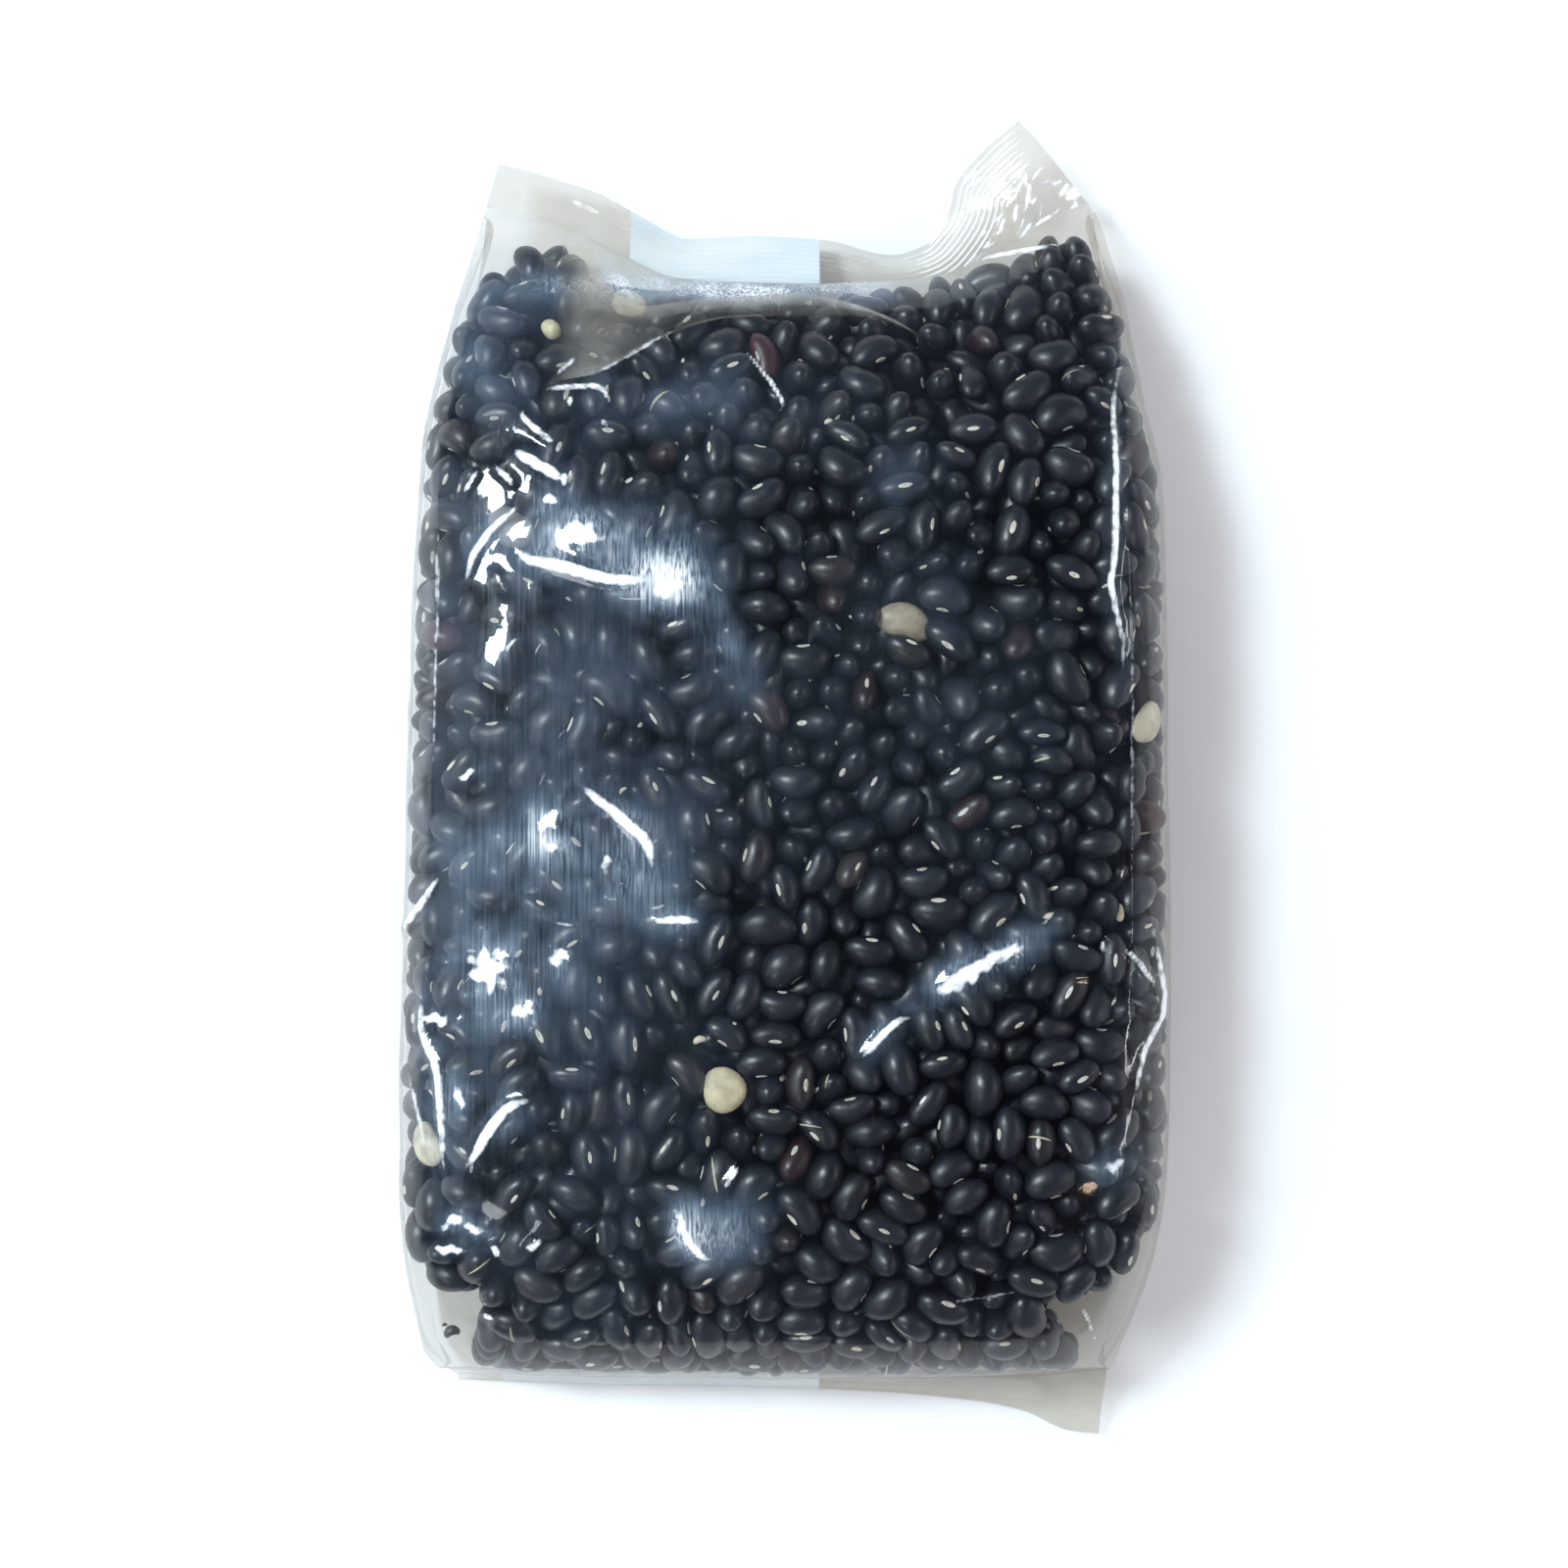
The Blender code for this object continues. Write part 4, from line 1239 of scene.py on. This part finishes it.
def clear_film(name, tint, gloss=0.055, streak=1.0, haze_sheen_colour=(0.52, 0.73, 0.97), creased=False):
    """Thin clear film: see-through, with mirror-like and rubbed gloss, a milky layer that also carries painted
    sheen, and painted highlights along creases where asked.
    """
    made, nodes, links = material(name)
    out = nodes.new("ShaderNodeOutputMaterial")
    clear = nodes.new("ShaderNodeBsdfTransparent")
    clear.inputs["Color"].default_value = (*tint, 1)
    streaks = noise(nodes, links, 2600.0, 2.0, (1.0, 0.022, 1.0))
    clouds = noise(nodes, links, 75.0, 2.0)
    rub = remap(nodes, links, streaks, 0.36, 0.66, -0.55 * streak, 0.75 * streak)
    cloud = remap(nodes, links, clouds, 0.36, 0.66, 0.30, 1.60)
    amount = attribute(nodes, "haze_and_sheen")
    rubbed = math_node(nodes, links, "MULTIPLY", amount, 5.0)
    rubbed = math_node(nodes, links, "MINIMUM", rubbed, 1.0)
    rubbed = math_node(nodes, links, "MULTIPLY", rubbed, rub)
    rubbed = math_node(nodes, links, "ADD", rubbed, 1.0)
    haze_and_sheen = math_node(nodes, links, "MULTIPLY", amount, rubbed)
    haze_and_sheen = math_node(nodes, links, "MULTIPLY", haze_and_sheen, cloud)
    haze_sheen_shader = nodes.new("ShaderNodeBsdfDiffuse")
    haze_sheen_shader.inputs["Color"].default_value = (*haze_sheen_colour, 1)
    if creased:
        # Painted highlight: where the milky layer is strong, its colour turns from pale blue to a bright highlight
        # colour.
        colours = nodes.new("ShaderNodeValToRGB")
        colours.color_ramp.elements[0].position = 0.10
        colours.color_ramp.elements[0].color = (*haze_sheen_colour, 1)
        colours.color_ramp.elements[1].position = 0.42
        colours.color_ramp.elements[1].color = (0.90, 0.96, 1.0, 1)
        links.new(haze_and_sheen, colours.inputs["Fac"])
        links.new(colours.outputs["Color"], haze_sheen_shader.inputs["Color"])
    body = layer(nodes, links, haze_and_sheen, clear.outputs[0], haze_sheen_shader.outputs[0])
    if creased:
        # Painted highlights: the film is painted bright along its creases and at its glints, and it turns cloudy
        # over its gussets.
        cloudy = math_node(nodes, links, "MULTIPLY", attribute(nodes, "cloudy"), cloud)
        body = layer(nodes, links, cloudy, body, diffuse(nodes, (0.80, 0.79, 0.76)))
        # Painted highlights: the crease and glint strengths, broken up by noise, blend in a bright diffuse colour.
        glint_breakup = remap(nodes, links, noise(nodes, links, 520.0, 2.0), 0.34, 0.62, 0.72, 1.20)
        painted_glint_mark = math_node(nodes, links, "MULTIPLY", attribute(nodes, "painted_glint"), glint_breakup)
        painted_glint_mark = remap(nodes, links, painted_glint_mark, 0.20, 0.46, 0.0, 0.96)
        body = layer(nodes, links, painted_glint_mark, body, diffuse(nodes, (0.97, 0.98, 0.99)))
    facing = nodes.new("ShaderNodeLayerWeight")
    facing.inputs["Blend"].default_value = 0.5
    steep = math_node(nodes, links, "POWER", facing.outputs["Facing"], 4.0)
    shine = math_node(nodes, links, "MULTIPLY_ADD", steep, 0.55)
    shine.node.inputs[2].default_value = 0.050
    wide = noise(nodes, links, 260.0, 2.0)
    bump = nodes.new("ShaderNodeBump")
    bump.inputs["Strength"].default_value = 0.10
    bump.inputs["Distance"].default_value = 0.0006
    links.new(wide, bump.inputs["Height"])
    sharp = nodes.new("ShaderNodeBsdfAnisotropic")
    sharp.inputs["Roughness"].default_value = gloss
    soft = nodes.new("ShaderNodeBsdfAnisotropic")
    soft.inputs["Roughness"].default_value = 0.30
    links.new(bump.outputs["Normal"], sharp.inputs["Normal"])
    split = remap(nodes, links, streaks, 0.45, 0.70, 0.10, 0.45)
    shiny = layer(nodes, links, split, sharp.outputs[0], soft.outputs[0])
    links.new(layer(nodes, links, shine, body, shiny), out.inputs["Surface"])
    return made


def bean_skin(name, rough, grain, base=None):
    made, nodes, links = material(name)
    out = nodes.new("ShaderNodeOutputMaterial")
    shader = nodes.new("ShaderNodeBsdfPrincipled")
    shader.inputs["Specular IOR Level"].default_value = 1.0
    tone = nodes.new("ShaderNodeAttribute")
    tone.attribute_name = "tone"
    spots = noise(nodes, links, 420.0, 5.0)
    value = remap(nodes, links, spots, 0.3, 0.7, 0.72, 1.30)
    mix = nodes.new("ShaderNodeMix")
    mix.data_type = "RGBA"
    mix.blend_type = "MULTIPLY"
    mix.inputs["Factor"].default_value = 1.0
    links.new(tone.outputs["Color"], mix.inputs["A"])
    links.new(value, mix.inputs["B"])
    links.new(mix.outputs["Result"], shader.inputs["Base Color"])
    wear = noise(nodes, links, 260.0, 3.0)
    links.new(remap(nodes, links, wear, 0.3, 0.7, rough - 0.07, rough + 0.09), shader.inputs["Roughness"])
    bump = nodes.new("ShaderNodeBump")
    bump.inputs["Strength"].default_value = grain
    bump.inputs["Distance"].default_value = 0.0004
    links.new(noise(nodes, links, 700.0, 4.0), bump.inputs["Height"])
    links.new(bump.outputs["Normal"], shader.inputs["Normal"])
    links.new(shader.outputs[0], out.inputs["Surface"])
    return made


def label_film():
    made, nodes, links = material("label_band")
    out = nodes.new("ShaderNodeOutputMaterial")
    shader = nodes.new("ShaderNodeBsdfPrincipled")
    ramp = nodes.new("ShaderNodeValToRGB")
    ramp.color_ramp.elements[0].position = 0.30
    ramp.color_ramp.elements[0].color = (0.76, 0.88, 0.99, 1)
    ramp.color_ramp.elements[1].position = 0.72
    ramp.color_ramp.elements[1].color = (0.88, 0.96, 1.0, 1)
    links.new(noise(nodes, links, 120.0, 3.0, (0.3, 1.4, 1.0)), ramp.inputs["Fac"])
    links.new(ramp.outputs["Color"], shader.inputs["Base Color"])
    shader.inputs["Roughness"].default_value = 0.42
    links.new(shader.outputs[0], out.inputs["Surface"])
    return made


def core_dark():
    made, nodes, links = material("heap_core")
    out = nodes.new("ShaderNodeOutputMaterial")
    shader = nodes.new("ShaderNodeBsdfPrincipled")
    value = remap(nodes, links, noise(nodes, links, 120.0, 3.0), 0.3, 0.7, 0.003, 0.009)
    colour = nodes.new("ShaderNodeCombineColor")
    for k in range(3):
        links.new(value, colour.inputs[k])
    links.new(colour.outputs["Color"], shader.inputs["Base Color"])
    shader.inputs["Roughness"].default_value = 0.8
    links.new(shader.outputs[0], out.inputs["Surface"])
    return made


TINT = (0.895, 0.878, 0.842)
film = clear_film("clear_film", TINT, creased=True)
back = clear_film("clear_film_back", TINT)
fin_film = clear_film("fin_film", TINT, gloss=0.08, streak=0.0, haze_sheen_colour=(0.80, 0.75, 0.67), creased=True)
fold_film = clear_film("fold_film", TINT, gloss=0.10, streak=0.2, haze_sheen_colour=(0.58, 0.54, 0.46))
skin = bean_skin("bean_skin", 0.41, 0.10)
inside = bean_skin("bean_inside", 0.50, 0.12)
for obj, used in (
    (film_front, film), (film_back, back), (flap, fold_film), (label, label_film()),
    (black_front, skin), (black_sides, skin), (black_inner, skin), (heap_core, core_dark()),
    (crumbs, skin), (chips, inside), (bare_halves, inside), (bean_scars, inside),
    (bean_cracks, inside), *((f, fin_film) for f in fins),
):
    obj.data.materials.append(used)

for obj in (film_front, film_back, flap, *fins):
    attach(obj, "root")
for obj in (black_front, black_sides, black_inner, crumbs, heap_core):
    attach(obj, "root")
for obj in (bare_halves, chips, bean_scars, bean_cracks):
    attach(obj, "root")
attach(label, "root")
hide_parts("bag")

# ----------------------------------------------------------- floor and lights
def floor():
    mesh = bpy.data.meshes.new("floor")
    n, size = 24, 4.0
    side = np.linspace(-size, size, n + 1)
    x, y = np.meshgrid(side, side)
    r = np.hypot(x, y)
    points = np.stack([x, y, np.where(r > 3.0, (r - 3.0) ** 2 * 0.15, 0.0) - 0.00005], -1).reshape(-1, 3)
    quads = grid_faces(n + 1, n + 1)
    mesh.from_pydata(points.tolist(), [], quads.tolist())
    mesh.update()
    mesh.shade_smooth()
    obj = link(bpy.data.objects.new("floor", mesh))
    made, nodes, links = material("floor")
    out = nodes.new("ShaderNodeOutputMaterial")
    shader = nodes.new("ShaderNodeBsdfDiffuse")
    shader.inputs["Color"].default_value = (0.93, 0.93, 0.93, 1)
    links.new(shader.outputs[0], out.inputs["Surface"])
    mesh.materials.append(made)


floor()


def softbox(name, place, width, height, radiance, colour):
    """An area light facing the bag; radiance is how bright its face looks."""
    data = bpy.data.lights.new(name, "AREA")
    data.shape = "RECTANGLE"
    data.size, data.size_y = width, height
    data.energy = radiance * math.pi * width * height
    data.color = colour
    obj = link(bpy.data.objects.new(name, data))
    obj.location = place
    aim = Vector((0, 0, 0.02)) - Vector(place)
    obj.rotation_euler = aim.to_track_quat("-Z", "Y").to_euler()
    return obj


def towards(azimuth, tilt, distance):
    """A place seen from the bag at a compass angle from +X and a tilt off the vertical."""
    a, t = math.radians(azimuth), math.radians(tilt)
    return (distance * math.sin(t) * math.cos(a), distance * math.sin(t) * math.sin(a), distance * math.cos(t))


softbox("window", towards(152, 34, 1.3), 0.24, 0.34, 56.0, (0.74, 0.88, 1.0))
softbox("left_panel", towards(180, 60, 1.5), 1.2, 0.9, 0.8, (0.70, 0.86, 1.0))
for label_side, azimuth in (("right", -5), ("back", 90), ("front", -90), ("far_left", 180)):
    fill = softbox(label_side + "_fill", towards(azimuth, 58, 1.6), 1.2, 0.9, 2.5, (1.0, 0.975, 0.94))
    fill.visible_glossy = False
# Narrow lights that only show as glints on folds.
for label_side, azimuth, tilt, width, height, radiance in (
    ("south_west", 230, 42, 0.20, 0.30, 8.0), ("east", 0, 62, 0.80, 0.045, 14.0),
):
    glint = softbox(label_side + "_strip", towards(azimuth, tilt, 1.3), width, height, radiance, (0.95, 0.98, 1.0))
    glint.visible_diffuse = False
softbox("warm_lamp", towards(-35, 40, 1.6), 0.10, 0.10, 14.0, (1.0, 0.72, 0.52))


def sky():
    world = bpy.data.worlds.new("sky")
    bpy.context.scene.world = world
    world.use_nodes = True
    nodes, links = world.node_tree.nodes, world.node_tree.links
    nodes.clear()
    out = nodes.new("ShaderNodeOutputWorld")
    back = nodes.new("ShaderNodeBackground")
    coord = nodes.new("ShaderNodeTexCoord")
    parts = nodes.new("ShaderNodeSeparateXYZ")
    links.new(coord.outputs["Generated"], parts.inputs[0])
    ramp = nodes.new("ShaderNodeValToRGB")
    ramp.color_ramp.elements[0].position = 0.0
    ramp.color_ramp.elements[0].color = (0.22, 0.28, 0.38, 1)
    ramp.color_ramp.elements[1].position = 0.95
    ramp.color_ramp.elements[1].color = (0.035, 0.048, 0.070, 1)
    mid = ramp.color_ramp.elements.new(0.60)
    mid.color = (0.13, 0.17, 0.25, 1)
    links.new(parts.outputs["Z"], ramp.inputs["Fac"])
    links.new(ramp.outputs["Color"], back.inputs["Color"])
    back.inputs["Strength"].default_value = 1.0
    links.new(back.outputs[0], out.inputs["Surface"])


sky()

camera_data = bpy.data.cameras.new("camera")
camera = link(bpy.data.objects.new("camera", camera_data))
camera.location = (0.0, 0.0, EYE * MM)
camera_data.sensor_width = 36.0
camera_data.lens = 36.0 * (EYE - PLANE) / SPAN
camera_data.clip_start = 0.01
camera.rotation_euler = (0.0, 0.0, 0.0)
bpy.context.scene.camera = camera
bpy.context.scene.view_settings.view_transform = "Standard"
